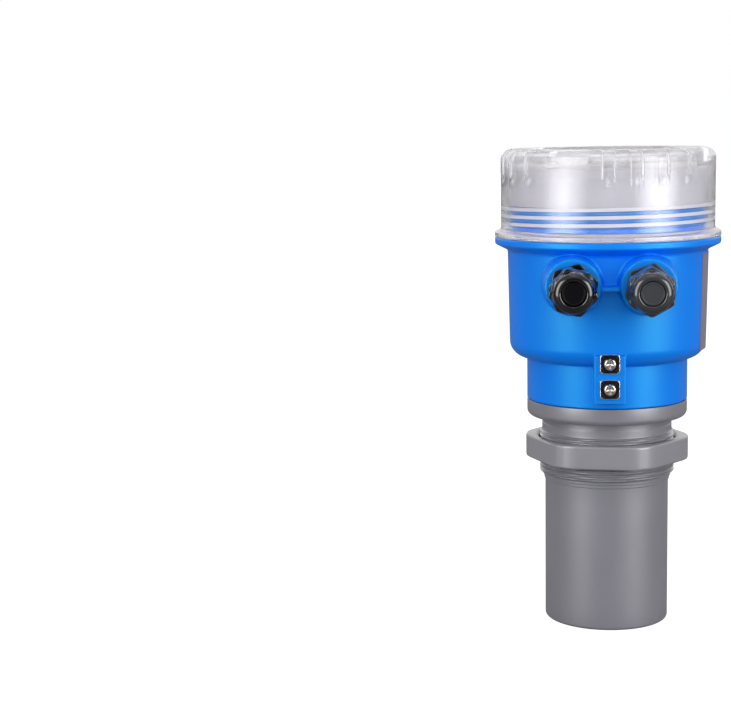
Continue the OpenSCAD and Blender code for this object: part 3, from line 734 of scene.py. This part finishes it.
def transducer():
    """Barrel, mounting thread, relief, collar and spigot as one moulding."""
    relief_z = BARREL_H + THREAD_L
    groove = BODY_Z + (SPIGOT_TOP - BODY_Z - SEAL_GROOVE_H) / 2
    rings = []
    for i, drop in enumerate(RING_DROPS):
        rings.append((BARREL_R + i * RING_STEP, BARREL_H - drop, RING_EDGE))
        rings.append((BARREL_R + (i + 1) * RING_STEP, BARREL_H - drop + RING_SLOPE, RING_EDGE))
    outline = filleted([
        (0, 0), (BARREL_R, 0, BARREL_EDGE), *rings,
        (BARREL_R + len(RING_DROPS) * RING_STEP, BARREL_H + LEAD_FROM, RING_EDGE),
        (THREAD_R, BARREL_H + LEAD_STEP, RING_EDGE), (THREAD_R, relief_z),
        (RELIEF_R, relief_z + THREAD_R - RELIEF_R, RELIEF_EDGE), (RELIEF_R, COLLAR_Z, RELIEF_EDGE),
        (COLLAR_R, COLLAR_Z, COLLAR_EDGE), (COLLAR_R, BODY_Z, SEAM_EDGE), (SPIGOT_R, BODY_Z),
        (SPIGOT_R, groove), (SEAL_GROOVE_R, groove), (SEAL_GROOVE_R, groove + SEAL_GROOVE_H),
        (SPIGOT_R, groove + SEAL_GROOVE_H), (SPIGOT_R, SPIGOT_TOP, SPIGOT_EDGE),
        (WELL_R, SPIGOT_TOP, SPIGOT_EDGE), (WELL_R, FACE_T), (0, FACE_T)])

    def longest(r, z):
        threaded = r > RELIEF_R and BARREL_H < z < relief_z + THREAD_TAIL
        return THREAD_PITCH / 10 if threaded else 8.0

    path = divided(outline, longest)
    angles = full_turn(180)
    radii, levels = swept(path, angles)
    runout = relief_z - THREAD_RUNOUT
    wave = thread_wave(levels / THREAD_PITCH - angles / TURN)
    wave = wave * (1 - ease(levels, runout, runout + RUNOUT_FADE))
    crest = THREAD_R - THREAD_DEPTH * (1 - wave)
    threaded = (radii > RELIEF_R + 0.05) & (levels > BARREL_H + LEAD_FROM)
    threaded &= levels < relief_z + THREAD_TAIL
    radii = np.where(threaded, np.minimum(radii, crest), radii)
    piece = polar_mesh("transducer_moulding", radii, levels, angles)
    sharpen(piece, 50)
    place_piece(piece, "sensor", GREY, "transducer_body")


def lock_nut():
    """Hexagonal nut with turned corners and soft moulded edges."""
    low, high = (corner[2] for corner in span("lock_nut"))

    def field(x, y, z):
        r = np.hypot(x, y)
        side = round_common(hexagon(x, y, NUT_FLATS, NUT_TURN), r - NUT_CORNER_R, NUT_CORNER_EDGE)
        solid = round_common(side, slab(z, low, high), NUT_EDGE)
        lead = r - NUT_BORE_R - NUT_LEAD + np.minimum(z - low, high - z)
        bore = np.minimum(r - NUT_BORE_R, lead * NUT_LEAD_LEAN)
        return round_cut(solid, bore, NUT_BORE_EDGE)

    grids = [full_turn(300), steps(29, 38, NUT_CELL), steps(low - 0.8, high + 0.8, NUT_CELL)]
    piece = net_mesh("lock_nut_moulding", field, grids, round_axis, wrap=True)
    place_piece(piece, "lock_nut", NUT_GREY, "lock_nut")


def body_radius(z):
    """Radius of the tapered blue body at a level."""
    return BODY_R + (BODY_TOP_R - BODY_R) * (z - STEP_Z) / (FLANGE_TOP - STEP_Z)


def housing_field(x, y, z):
    """Turned body, bosses, web, pad and neck, with the chamber and bores cut out."""
    r = np.hypot(x, y)
    skirt = round_common(r - COLLAR_R, slab(z, BODY_Z, STEP_Z + SKIRT_OVERLAP), SEAM_EDGE)
    side, top = r - body_radius(z), FLANGE_TOP - BODY_DROP
    body = round_common(side, slab(z, STEP_Z, top), BODY_CORNER)
    body = np.where(z > (STEP_Z + FLANGE_TOP) / 2, np.maximum(side, z - top), body)
    slope = (r - FLANGE_R) - (z - (FLANGE_TOP - FLANGE_T)) * (FLANGE_R - BODY_TOP_R) / FLANGE_SLOPE
    flange = round_common(r - FLANGE_R, z - FLANGE_TOP, FLANGE_EDGE)
    flange = round_common(flange, slope * FLANGE_LEAN, FLANGE_EDGE)
    solid = fillet_union(skirt, body, STEP_FILLET)
    solid = fillet_union(solid, flange, FLANGE_FILLET)
    for side in GLAND_SIDES.values():
        off = np.hypot(x - side * GLAND_X, z - GLAND_Z)
        cone = off - (BOSS_ROOT_R + (BOSS_R - BOSS_ROOT_R) * -y / BOSS_REACH)
        boss = np.maximum(round_common(cone, -y - BOSS_REACH, BOSS_EDGE), y)
        solid = fillet_union(solid, boss, BOSS_FILLET)
    web = np.maximum(slab(x, -GLAND_X, GLAND_X), np.maximum(-y - BOSS_REACH + WEB_SETBACK, y))
    middle = GLAND_Z - WEB_DROP
    web = round_common(web, slab(z, middle - WEB_T / 2, middle + WEB_T / 2), WEB_EDGE)
    solid = fillet_union(solid, web, WEB_FILLET)
    low = BODY_Z + PAD_RISE
    pad = round_common(slab(x, -PAD_W / 2, PAD_W / 2), slab(z, low, low + PAD_H), PAD_CORNER)
    pad = np.maximum(round_common(pad, -y - PAD_REACH, PAD_EDGE), y)
    solid = fillet_union(solid, pad, PAD_FILLET)
    neck = round_common(r - NECK_R, z - NECK_TOP, NECK_EDGE)
    solid = fillet_union(solid, np.maximum(neck, NECK_FROM - z), NECK_FILLET)
    solid = cut(solid, np.maximum(NECK_ROOT_R - r, slab(z, LID_THREAD_FROM, NECK_THREAD_TO)))
    solid = round_cut(solid, np.maximum(r - CHAMBER_R, FLOOR_Z - z), CHAMBER_EDGE)
    solid = cut(solid, np.maximum(r - SKIRT_BORE_R, z - STEP_Z))
    solid = cut(solid, r - FLOOR_HOLE_R)
    for side in GLAND_SIDES.values():
        bore = np.maximum(np.hypot(x - side * GLAND_X, z - GLAND_Z) - ENTRY_R, y)
        solid = round_cut(solid, bore, ENTRY_EDGE)
    for level in EARTH_Z:
        solid = cut(solid, np.maximum(np.hypot(x, z - level) - INSERT_R, y + PAD_REACH - INSERT_L))
    return solid


def housing():
    """Blue housing with filleted bosses, web, earth pad and flange, meshed finer at its front."""
    front = math.radians(56)
    angles = np.concatenate([steps(-front, front, math.radians(0.8)),
                             steps(front, TURN - front, math.radians(2))[1:-1]])
    radii = np.concatenate([steps(19.5, 37.5, 1.5), steps(37.5, 64.5, HOUSING_CELL)[1:]])
    levels = steps(BODY_Z - 0.9, NECK_TOP + 0.9, HOUSING_CELL)
    piece = net_mesh("housing_moulding", housing_field, [angles, radii, levels], round_axis, wrap=True)
    place_piece(piece, "sensor", BLUE, "housing")


def neck_thread():
    """Thread on the housing's neck that the lid screws on to."""
    low, high = LID_THREAD_FROM, NECK_THREAD_TO
    rise = steps(low, high, LID_PITCH / 14)
    angles = full_turn(160)
    levels = np.repeat(rise[:, None], len(angles), 1)
    fade = np.clip(np.minimum(levels - low, high - levels) / NECK_THREAD_FADE, 0, 1)
    share = np.abs(((levels - low) / LID_PITCH - angles / TURN) % 1 - 0.5) * 2
    wave = np.clip((share - 0.45) / 0.3, 0, 1)
    root = NECK_ROOT_R + 0.05
    outside = root + (NECK_CREST_R - root) * wave * fade
    inside = np.full((1, len(angles)), NECK_ROOT_R - NECK_THREAD_T)
    radii = np.concatenate([outside, inside, inside])
    levels = np.concatenate([levels, levels[-1:], levels[:1]])
    piece = polar_mesh("neck_thread", radii, levels, angles, ring=True)
    sharpen(piece, 60)
    place_piece(piece, "sensor", NECK_BLUE_PAINTED_LIGHTER)


def lid_columns():
    """Angles of the lid's mesh, close together within a reach of its flutes and edges."""
    edges = []
    for centre in spaced(CHANNEL_TURN, CHANNELS):
        for side in (-1, 1):
            edges.append((centre + side * CHANNEL_DEG / 2, 1.2))
            edges.append((centre + side * (CHANNEL_DEG / 2 + CHANNEL_WALL_DEG), 0.9))
    for turn in flute_turns():
        edges.append((turn, 2.2))
        for side in (-1, 1):
            edges.append((turn + side * FLUTE_REACH_DEG, 1.0))
    for centre in spaced(STOP_TURN, STOPS):
        for side in (-1, 1):
            edges.append((centre + side * math.degrees(STOP_W / 2 / FLANGE_R), 0.6))
    angles = list(np.arange(0, 360, LID_COLUMN))
    for centre, reach in edges:
        angles = [a for a in angles if abs((a - centre + 180) % 360 - 180) > reach]
    for centre, reach in edges:
        size = LID_FLUTE_COLUMN if reach > 2 else LID_EDGE_COLUMN
        angles += list(centre + np.arange(-reach, reach + 0.01, size))
    angles = np.unique(np.round(np.mod(angles, 360), 2))
    return np.radians(angles[np.diff(np.append(angles, angles[0] + 360)) > LID_LEAST_COLUMN])


def spaced(first, count):
    """Directions in degrees, evenly spaced round the axis."""
    return [first + i * 360 / count for i in range(count)]


def flute_turns():
    """Directions of the grip flutes, in rows between the channels."""
    return [centre + (k - (FLUTES - 1) / 2) * FLUTE_STEP
            for centre in spaced(CHANNEL_TURN + 180 / CHANNELS, CHANNELS) for k in range(FLUTES)]


def apart(angles, centre):
    """Signed angle in degrees from a direction."""
    return (np.degrees(angles) - centre + 180) % 360 - 180


def ease(value, low, high):
    """Smooth rise from 0 to 1 between two values."""
    t = np.clip((value - low) / (high - low), 0, 1)
    return t * t * (3 - 2 * t)


def in_channel(angles, width):
    """1 at angles within a channel of this width in degrees, 0 elsewhere."""
    inside = np.zeros_like(angles)
    for centre in spaced(CHANNEL_TURN, CHANNELS):
        off = np.abs(apart(angles, centre))
        inside = np.maximum(inside, 1 - ease(off, width / 2 - 0.5, width / 2 + 0.5))
    return inside


def lid_outside(angles):
    """Radii, levels and milkiness of the lid's outer face, from its foot to the window's middle; the
    milkiness is painted light.
    """
    edge_low = LID_TOP - LID_EDGE
    path = filleted([
        (LID_GROOVE_R, LID_Z), (FLANGE_R, LID_Z, 0.3), (FLANGE_R, LID_Z + LID_FLANGE_H, 0.4),
        (LID_R, LID_Z + LID_FLANGE_H + LID_SLOPE_H, 0.8), (LID_R, LID_TOP, LID_EDGE),
        (RIM_INNER_R, LID_TOP, 0.6), (WINDOW_R, WINDOW_Z, 0.6), (0.0, WINDOW_Z)], arc_steps=8)

    def longest(r, z):
        fine = z > LID_TOP - FLUTE_L - 1 and r > LID_R - FLUTE_TOP_L - 1
        return 0.4 if fine else 0.5 if z < LID_Z + LID_FLANGE_H else 3.0

    path = divided(path, longest)
    run = np.concatenate([[0], np.cumsum(np.linalg.norm(np.diff(path, axis=0), axis=1))])
    turned = np.gradient(path, axis=0)
    turned /= np.linalg.norm(turned, axis=1)[:, None]
    inward = np.stack([-turned[:, 1], turned[:, 0]], -1)
    side_end = run[np.argmin(np.hypot(path[:, 0] - LID_R, path[:, 1] - edge_low))]
    top_end = run[np.argmin(np.hypot(path[:, 0] - LID_R + LID_EDGE, path[:, 1] - LID_TOP))]
    low = side_end - (FLUTE_L - LID_EDGE) + FLUTE_W / 2
    high = top_end + (FLUTE_TOP_L - LID_EDGE) - FLUTE_W / 2
    along = np.maximum(np.abs(run - (low + high) / 2) - (high - low) / 2, 0)[:, None]
    edge = np.full((len(path), len(angles)), FAR)
    for turn in flute_turns():
        across = np.radians(apart(angles, turn))[None, :] * path[:, :1]
        edge = np.minimum(edge, np.hypot(across, along) - FLUTE_W / 2)
    sunk = 1 - ease(edge, -FLUTE_EDGE, FLUTE_EDGE)
    radii = path[:, :1] + inward[:, :1] * FLUTE_DEPTH * sunk
    levels = path[:, 1:] + inward[:, 1:] * FLUTE_DEPTH * sunk
    open_rim = in_channel(angles, CHANNEL_DEG)[None, :]
    lowered = -fillet_union(-levels, np.full_like(levels, -WINDOW_Z), 0.3)
    levels = levels + (np.minimum(levels, lowered) - levels) * open_rim
    notch = np.zeros_like(angles)
    for centre in spaced(STOP_TURN, STOPS):
        off = np.radians(np.abs(apart(angles, centre))) * FLANGE_R
        notch = np.maximum(notch, 1 - ease(off, STOP_W / 2 - 0.25, STOP_W / 2 + 0.25))
    stop_top = LID_Z + LID_FLANGE_H * STOP_SHARE
    low_rim = 1 - ease(levels, stop_top - 0.2, stop_top + 0.2)
    reach = np.minimum(STOP_DEPTH, np.maximum(radii - FLANGE_R + STOP_DEPTH, 0))
    radii = radii - reach * notch[None, :] * low_rim
    # Painted light: milky frost that whitens the foot, the shoulder, the crown and the flute outlines,
    # where light catches the clear plastic.
    foot = 1 - ease(levels, LID_Z + LID_FLANGE_H, LID_Z + LID_FLANGE_H + LID_SLOPE_H)
    crown_painted_light = SHOULDER_PAINTED_LIGHT * ease(levels, LID_TOP - 15, LID_TOP - 9)
    crown_painted_light += CROWN_PAINTED_LIGHT * ease(levels, LID_TOP - LID_EDGE, LID_TOP - 1)
    outline = OUTLINE_PAINTED_HIGHLIGHT * (1 - ease(np.abs(edge), 0.1, 0.6))
    satin_and_painted_light = np.maximum(outline, np.maximum(FOOT_PAINTED_LIGHT * foot, crown_painted_light))
    return radii, levels, satin_and_painted_light


def lid_inside(angles):
    """Radii and levels of the lid's inner face, from the window's middle to its foot."""
    path = filleted([
        (0.0, CEILING_Z), (WINDOW_R + WINDOW_T, CEILING_Z, 0.5),
        (RIM_INNER_R + WINDOW_T, LID_TOP - WINDOW_T, 0.5), (LID_BORE_R, LID_TOP - WINDOW_T, 2.2),
        (LID_BORE_R, LID_Z + LID_GROOVE_H, 0.3), (LID_GROOVE_R, LID_Z + LID_GROOVE_H, 0.3),
        (LID_GROOVE_R, LID_Z)], arc_steps=5)
    radii, levels = swept(divided(path, lambda r, z: 4.0), angles)
    closed = in_channel(angles, CHANNEL_DEG + 2 * CHANNEL_WALL_DEG)[None, :]
    levels = levels + (np.minimum(levels, CEILING_Z) - levels) * closed
    return radii, levels


def lid():
    """Clear lid with grip flutes, rim channels and flange stops."""
    angles = lid_columns()
    outer_r, outer_z, satin_and_painted_light = lid_outside(angles)
    inner_r, inner_z = lid_inside(angles)
    radii = np.concatenate([outer_r, inner_r])
    levels = np.concatenate([outer_z, inner_z])
    satin_and_painted_light = np.concatenate([satin_and_painted_light, np.zeros_like(inner_r)])
    # Even satin finish everywhere but the window's middle, with the painted light on top.
    satin_and_painted_light = (SATIN + (1 - SATIN) * satin_and_painted_light) * ease(radii, WINDOW_R - 1.5, WINDOW_R)
    piece = polar_mesh("lid_moulding", radii, levels, angles, satin_and_painted_light=satin_and_painted_light)
    place_piece(piece, "lid", CLEAR, "lid")


def lid_thread():
    """Thread ridge inside the lid, between the turns of the neck's thread, whitened as a painted
    reflection of the light that its flanks catch.
    """
    first, last = LID_RIDGE_TURNS
    turns = np.linspace(first, last, 260)
    depth = LID_RIDGE * np.clip(np.minimum(turns - first, last - turns) / LID_RIDGE_FADE, 0.02, 1)
    centre = LID_THREAD_FROM + LID_PITCH * (turns + 0.5)
    points = []
    for turn, sunk, z in zip(turns, depth, centre):
        across, along = math.sin(TURN * turn), -math.cos(TURN * turn)
        root, crest = LID_BORE_R + LID_RIDGE_SUNK, LID_BORE_R - sunk
        for r, rise in ((root, -LID_RIDGE_ROOT_W / 2), (crest, -LID_RIDGE_W / 2),
                        (crest, LID_RIDGE_W / 2), (root, LID_RIDGE_ROOT_W / 2)):
            points.append((r * across, r * along, z + rise))
    faces = [[3, 2, 1, 0], [len(points) - 4 + k for k in range(4)]]
    for i in range(len(turns) - 1):
        here, beyond = 4 * i, 4 * i + 4
        for k in range(4):
            after = (k + 1) % 4
            faces.append([here + k, here + after, beyond + after, beyond + k])
    piece = mesh_object("lid_thread", points, faces)
    sharpen(piece)
    place_piece(piece, "lid", WHITE_PAINTED_REFLECTION)


def gland(name, side):
    """Fixed hexagon with its clamping thread, and the domed nut on it."""
    place = round_gland(side)

    def local(x, y, z):
        return x - side * GLAND_X, z - GLAND_Z, -BOSS_REACH - y

    def cap_field(x, y, z):
        a, b, h = local(x, y, z)
        r = np.hypot(a, b)
        sides = round_common(hexagon(a, b, CAP_FLATS, CAP_TURN[name]), r - CAP_CORNER_R, CAP_CORNER_EDGE)
        prism = round_common(sides, slab(h, CAP_FROM, CAP_SHOULDER), CAP_EDGE)
        slope = (CAP_DOME_R - CAP_SIDE_R) / (CAP_TO - CAP_SHOULDER - CAP_ROUND)
        dome = (r - CAP_DOME_R + slope * (h - CAP_SHOULDER)) / math.hypot(1, slope)
        dome = np.maximum(dome, CAP_SHOULDER - 2 - h)
        dome = round_common(dome, h - CAP_TO, CAP_ROUND)
        solid = fillet_union(prism, dome, CAP_FILLET)
        solid = round_cut(solid, r - CAP_MOUTH_R, CAP_MOUTH_EDGE)
        solid = cut(solid, np.maximum(r - CAP_BORE_R, h - CAP_BORE_TO))
        return cut(solid, np.maximum(r - PLUG_FLANGE_R - RUNNING_GAP, h - PLUG_LIP))

    def body_field(x, y, z):
        a, b, h = local(x, y, z)
        r = np.hypot(a, b)
        sides = round_common(hexagon(a, b, HEX_FLATS, HEX_TURN[name]), r - HEX_CORNER_R, HEX_CORNER_EDGE)
        solid = round_common(sides, slab(h, HEX_FROM, HEX_TO), HEX_EDGE)
        crest = CLAMP_DEPTH * thread_wave(h / CLAMP_PITCH - np.arctan2(b, a) / TURN)
        clamp = np.maximum(r - CLAMP_R + CLAMP_DEPTH - crest, slab(h, HEX_TO - 1, CLAMP_TO))
        entry = np.maximum(r - ENTRY_R + ENTRY_GAP, slab(h, -ENTRY_L, HEX_FROM + 1))
        solid = np.minimum(np.minimum(solid, clamp), entry)
        return np.maximum(solid, GLAND_BORE_R - r)

    around = full_turn(144)
    grids = [around, steps(4.4, 11.5, GLAND_CELL), steps(CAP_FROM - 0.6, CAP_TO + 0.6, GLAND_CELL)]
    piece = net_mesh(f"gland_nut_{name}_moulding", cap_field, grids, place, wrap=True)
    place_piece(piece, f"gland_nut_{name}", BLACK[name], f"gland_nut_{name}")
    grids = [around, steps(5.0, 12.2, GLAND_CELL), steps(-ENTRY_L - 0.6, CLAMP_TO + 0.6, CLAMP_CELL)]
    piece = net_mesh(f"gland_body_{name}_moulding", body_field, grids, place, wrap=True)
    place_piece(piece, "sensor", BLACK[name], f"gland_body_{name}")


def gland_plug(name, side):
    """Blanking plug with a dished front."""
    low, high = span(f"gland_plug_{name}")
    back, front = -BOSS_REACH - high[1], -BOSS_REACH - low[1]
    path = filleted([
        (0, back), (PLUG_FLANGE_R, back, 0.2), (PLUG_FLANGE_R, back + PLUG_FLANGE_T, 0.2),
        (PLUG_R, back + PLUG_FLANGE_T), (PLUG_R, front, 0.4), (PLUG_R - PLUG_RIM_W, front, 0.15),
        (PLUG_R - PLUG_RIM_W - PLUG_RIM_SLOPE, front - PLUG_DISH, 0.15), (0, front - PLUG_DISH)])
    angles = full_turn(96)
    piece = polar_mesh(f"gland_plug_{name}_moulding", *swept(path, angles), angles)
    at = Matrix.Translation((side * GLAND_X * MM, -BOSS_REACH * MM, GLAND_Z * MM))
    piece.data.transform(at @ Matrix.Rotation(math.radians(90), 4, "X"))
    sharpen(piece, 50)
    place_piece(piece, f"gland_plug_{name}", PLUG_BLACK[name], f"gland_plug_{name}")


def earth_terminal():
    """Dished square washers under cross-recess pan screws."""
    def washers(x, y, z):
        solid = np.full_like(x, FAR)
        half = EARTH_W / 2
        for level in EARTH_Z:
            up, out = z - level, -PAD_REACH - y
            r = np.hypot(x, up)
            square = round_common(slab(x, -half, half), slab(up, -half, half), EARTH_CORNER)
            plate = round_common(square, slab(out, 0, EARTH_T + EARTH_RIM), EARTH_EDGE)
            plate = round_cut(plate, np.maximum(r - half + EARTH_RIM_W, EARTH_T - out), 0.2)
            solid = np.minimum(solid, np.maximum(plate, EARTH_HOLE_R - r))
        return solid

    def screws(x, y, z):
        solid = np.full_like(x, FAR)
        for level in EARTH_Z:
            up, out = z - level, -PAD_REACH - y - EARTH_T
            r = np.hypot(x, up)
            head = round_common(r - EARTH_HEAD_R, slab(out, 0, EARTH_HEAD_H), EARTH_HEAD_EDGE)
            reach = CROSS_REACH - CROSS_TAPER * (EARTH_HEAD_H - out)
            cross = np.minimum(np.maximum(np.abs(x) - CROSS_W / 2, np.abs(up) - reach),
                               np.maximum(np.abs(up) - CROSS_W / 2, np.abs(x) - reach))
            cross = np.maximum(cross, EARTH_HEAD_H - CROSS_DEPTH * (1 - r / CROSS_CONE_R) - out)
            head = round_cut(head, cross, 0.12)
            shank = np.maximum(r - EARTH_SHANK_R, slab(out, -INSERT_L, 0.2))
            solid = np.minimum(solid, np.minimum(head, shank))
        return solid

    low, high, face = EARTH_Z[0] - 5, EARTH_Z[1] + 5, -PAD_REACH
    bounds = [(-4.6, 4.6), (face - 1.8, face + 0.4), (low, high)]
    grids = [steps(*ends, WASHER_CELL) for ends in bounds]
    piece = net_mesh("earth_washers_plated", washers, grids)
    place_piece(piece, "sensor", WASHER_PAINTED_LIGHT, "earth_washers")
    bounds = [(-3, 3), (face - 3.4, face + 6.6), (low + 2, high - 2)]
    grids = [steps(*ends, SCREW_CELL) for ends in bounds]
    piece = net_mesh("earth_screws_plated", screws, grids)
    place_piece(piece, "sensor", NICKEL, "earth_screws")


def label_plate():
    """Bare plate on the housing's side."""
    count_a, count_z = 48, 12
    angles = np.linspace(math.radians(LABEL_FROM), math.radians(LABEL_TO), count_a)
    rise = np.linspace(STEP_Z + LABEL_LOW, STEP_Z + LABEL_HIGH, count_z)
    points, faces = [], []
    for lift in (LABEL_SUNK, LABEL_LIFT):
        for z in rise:
            r = body_radius(z) + lift
            points += [(r * math.sin(a), -r * math.cos(a), z) for a in angles]
    layer = count_a * count_z
    for j in range(count_z - 1):
        for i in range(count_a - 1):
            a = j * count_a + i
            quad = [a, a + 1, a + 1 + count_a, a + count_a]
            faces.append([layer + v for v in quad])
            faces.append(quad[::-1])
    number = np.arange(layer).reshape(count_z, count_a)
    sides = [number[0], number[1:, -1], number[-1, -2::-1], number[-2:0:-1, 0]]
    border = np.concatenate(sides).tolist()
    for a, b in zip(border, border[1:] + border[:1]):
        faces.append([a, b, layer + b, layer + a])
    piece = mesh_object("label_plate", points, faces)
    sharpen(piece)
    place_piece(piece, "sensor", PLATE)


def key_marks():
    """Raised arrows beside two keys and a bare bar beside the third."""
    outlines = {
        "set_key": [(-1.7, -0.5), (1.7, -0.5), (1.7, 0.5), (-1.7, 0.5)],
        "up_key": [(-0.9, -0.7), (0.9, -0.7), (0.0, 0.9)],
        "down_key": [(-0.9, 0.7), (0.0, -0.9), (0.9, 0.7)],
    }
    points, faces = [], []
    for key, outline in outlines.items():
        x, y, _ = sum(span(key)) / 2 + (0, MARK_OFFSET, 0)
        start, count = len(points), len(outline)
        for lift in (MARK_SUNK, MARK_LIFT):
            points += [(x + a, y + b, KEYPAD_Z + lift) for a, b in outline]
        ring = [start + i for i in range(count)]
        faces += [ring[::-1], [count + i for i in ring]]
        faces += [[a, b, b + count, a + count] for a, b in zip(ring, ring[1:] + ring[:1])]
    piece = mesh_object("key_marks", points, faces)
    sharpen(piece)
    place_piece(piece, "sensor", MARK)


# Scene

def stage():
    """Pale floor that runs out into the white surround."""
    bpy.ops.mesh.primitive_circle_add(vertices=96, radius=6, fill_type="NGON")
    floor = bpy.context.object
    floor.name = "floor"
    made, tree, shader = new_material("pale_floor")
    tone = two_tone(tree, noise(tree, 3), (0.09, 0.09, 0.09), (0.11, 0.11, 0.11))
    seen = new_node(tree, "LightPath", "Is Camera Ray")
    glow = new_node(tree, "Mix", "Result", Factor=seen, A=0.03, B=1.0)
    set_inputs(tree, shader, Base_Color=tone, Roughness=0.6,
               Emission_Color=(1, 1, 1, 1), Emission_Strength=glow)
    floor.data.materials.append(made)


def world():
    """White surround to the camera, with softer light from the camera's side."""
    made = bpy.data.worlds.new("studio")
    bpy.context.scene.world = made
    made.use_nodes = True
    tree = made.node_tree
    where = new_node(tree, "TexCoord", "Generated")
    back = new_node(tree, "SeparateXYZ", "Y", Vector=where)
    above = new_node(tree, "SeparateXYZ", "Z", Vector=where)

    def rise(value, start, end, low=0.0, high=1.0):
        return mapped(tree, value, low, high, start, end, "SMOOTHSTEP")

    step = partial(calculated, tree)
    sky = step("MULTIPLY", rise(back, 0.1, 0.7), rise(above, -0.02, 0.08))
    sky = step("MAXIMUM", sky, step("MULTIPLY", rise(above, 0.35, 0.80), 0.45))
    sky = step("MAXIMUM", sky, 0.06)
    ray = tree.nodes.new("ShaderNodeLightPath").outputs
    front = rise(back, -0.3, 0.8, 0.80, 0.85)
    around = new_node(tree, "Mix", "Result", Factor=ray["Is Glossy Ray"], A=front, B=sky)
    through = step("GREATER_THAN", ray["Transmission Depth"], 0.5)
    direct = step("MAXIMUM", ray["Is Camera Ray"], through)
    strength = new_node(tree, "Mix", "Result", Factor=direct, A=around, B=1.0)
    set_inputs(tree, tree.nodes["Background"], Color=(1, 1, 1, 1), Strength=strength)


def softbox(name, azimuth, height, distance, size, power, diffuse=True, glossy=True, aim=0.12):
    """Area light that fades to its sides, at an azimuth in degrees from -Y towards +X."""
    light = bpy.data.lights.new(name, "AREA")
    light.shape = "RECTANGLE"
    light.size, light.size_y = size
    light.energy = power
    light.use_nodes = True
    tree = light.node_tree
    where = new_node(tree, "NewGeometry", "Parametric")
    across = new_node(tree, "SeparateXYZ", "X", Vector=where)
    feather = calculated(tree, "PINGPONG", across, 0.5)
    set_inputs(tree, tree.nodes["Emission"], Strength=feather)
    lamp = bpy.data.objects.new(name, light)
    turn = math.radians(azimuth)
    lamp.location = (distance * math.sin(turn), -distance * math.cos(turn), height)
    toward = Vector((0, 0, aim)) - lamp.location
    lamp.rotation_euler = toward.to_track_quat("-Z", "Y").to_euler()
    lamp.visible_camera = False
    lamp.visible_diffuse = diffuse
    lamp.visible_glossy = glossy
    bpy.context.scene.collection.objects.link(lamp)


def camera():
    """The photograph's viewpoint, fitted to the part's outline."""
    distance, height = 0.77822, 0.22706
    azimuth, yaw, pitch, roll = (math.radians(a) for a in (1.755, -8.0, 7.7217, -0.8813))
    heading = yaw + azimuth
    run = math.cos(pitch)
    forward = Vector((math.sin(heading) * run, math.cos(heading) * run, -math.sin(pitch)))
    level = forward.cross(Vector((0, 0, 1))).normalized()
    up = level.cross(forward)
    right = level * math.cos(roll) + up * math.sin(roll)
    top = up * math.cos(roll) - level * math.sin(roll)
    lens = bpy.data.cameras.new("view")
    lens.lens = 85.349
    lens.sensor_width = 36
    lens.clip_start = 0.01
    eye = bpy.data.objects.new("view", lens)
    eye.matrix_world = Matrix((
        (right.x, top.x, -forward.x, -distance * math.sin(azimuth)),
        (right.y, top.y, -forward.y, -distance * math.cos(azimuth)),
        (right.z, top.z, -forward.z, height), (0, 0, 0, 1)))
    bpy.context.scene.collection.objects.link(eye)
    bpy.context.scene.camera = eye


finish_nodes()
transducer()
lock_nut()
housing()
neck_thread()
lid()
lid_thread()
for name, side in GLAND_SIDES.items():
    gland(name, side)
    gland_plug(name, side)
earth_terminal()
label_plate()
key_marks()

stage()
world()
camera()
softbox("shine_left", -47, 0.26, 0.9, (0.90, 1.0), 34, diffuse=False)
softbox("shine_right", 52, 0.26, 0.9, (0.95, 1.0), 39, diffuse=False)
softbox("fill_left", -62, 0.12, 0.9, (1.0, 1.2), 17, glossy=False)
softbox("fill_right", 62, 0.12, 0.9, (1.0, 1.2), 21, glossy=False)
softbox("fill_front", 2, 0.10, 0.9, (0.9, 0.9), 12, glossy=False)
softbox("fill_top", 0, 1.3, 0.25, (0.8, 0.8), 3)

bpy.context.scene.view_settings.view_transform = "Standard"
cycles = bpy.context.scene.cycles
cycles.max_bounces = 40
cycles.glossy_bounces = 16
cycles.transmission_bounces = 32
cycles.use_denoising = True
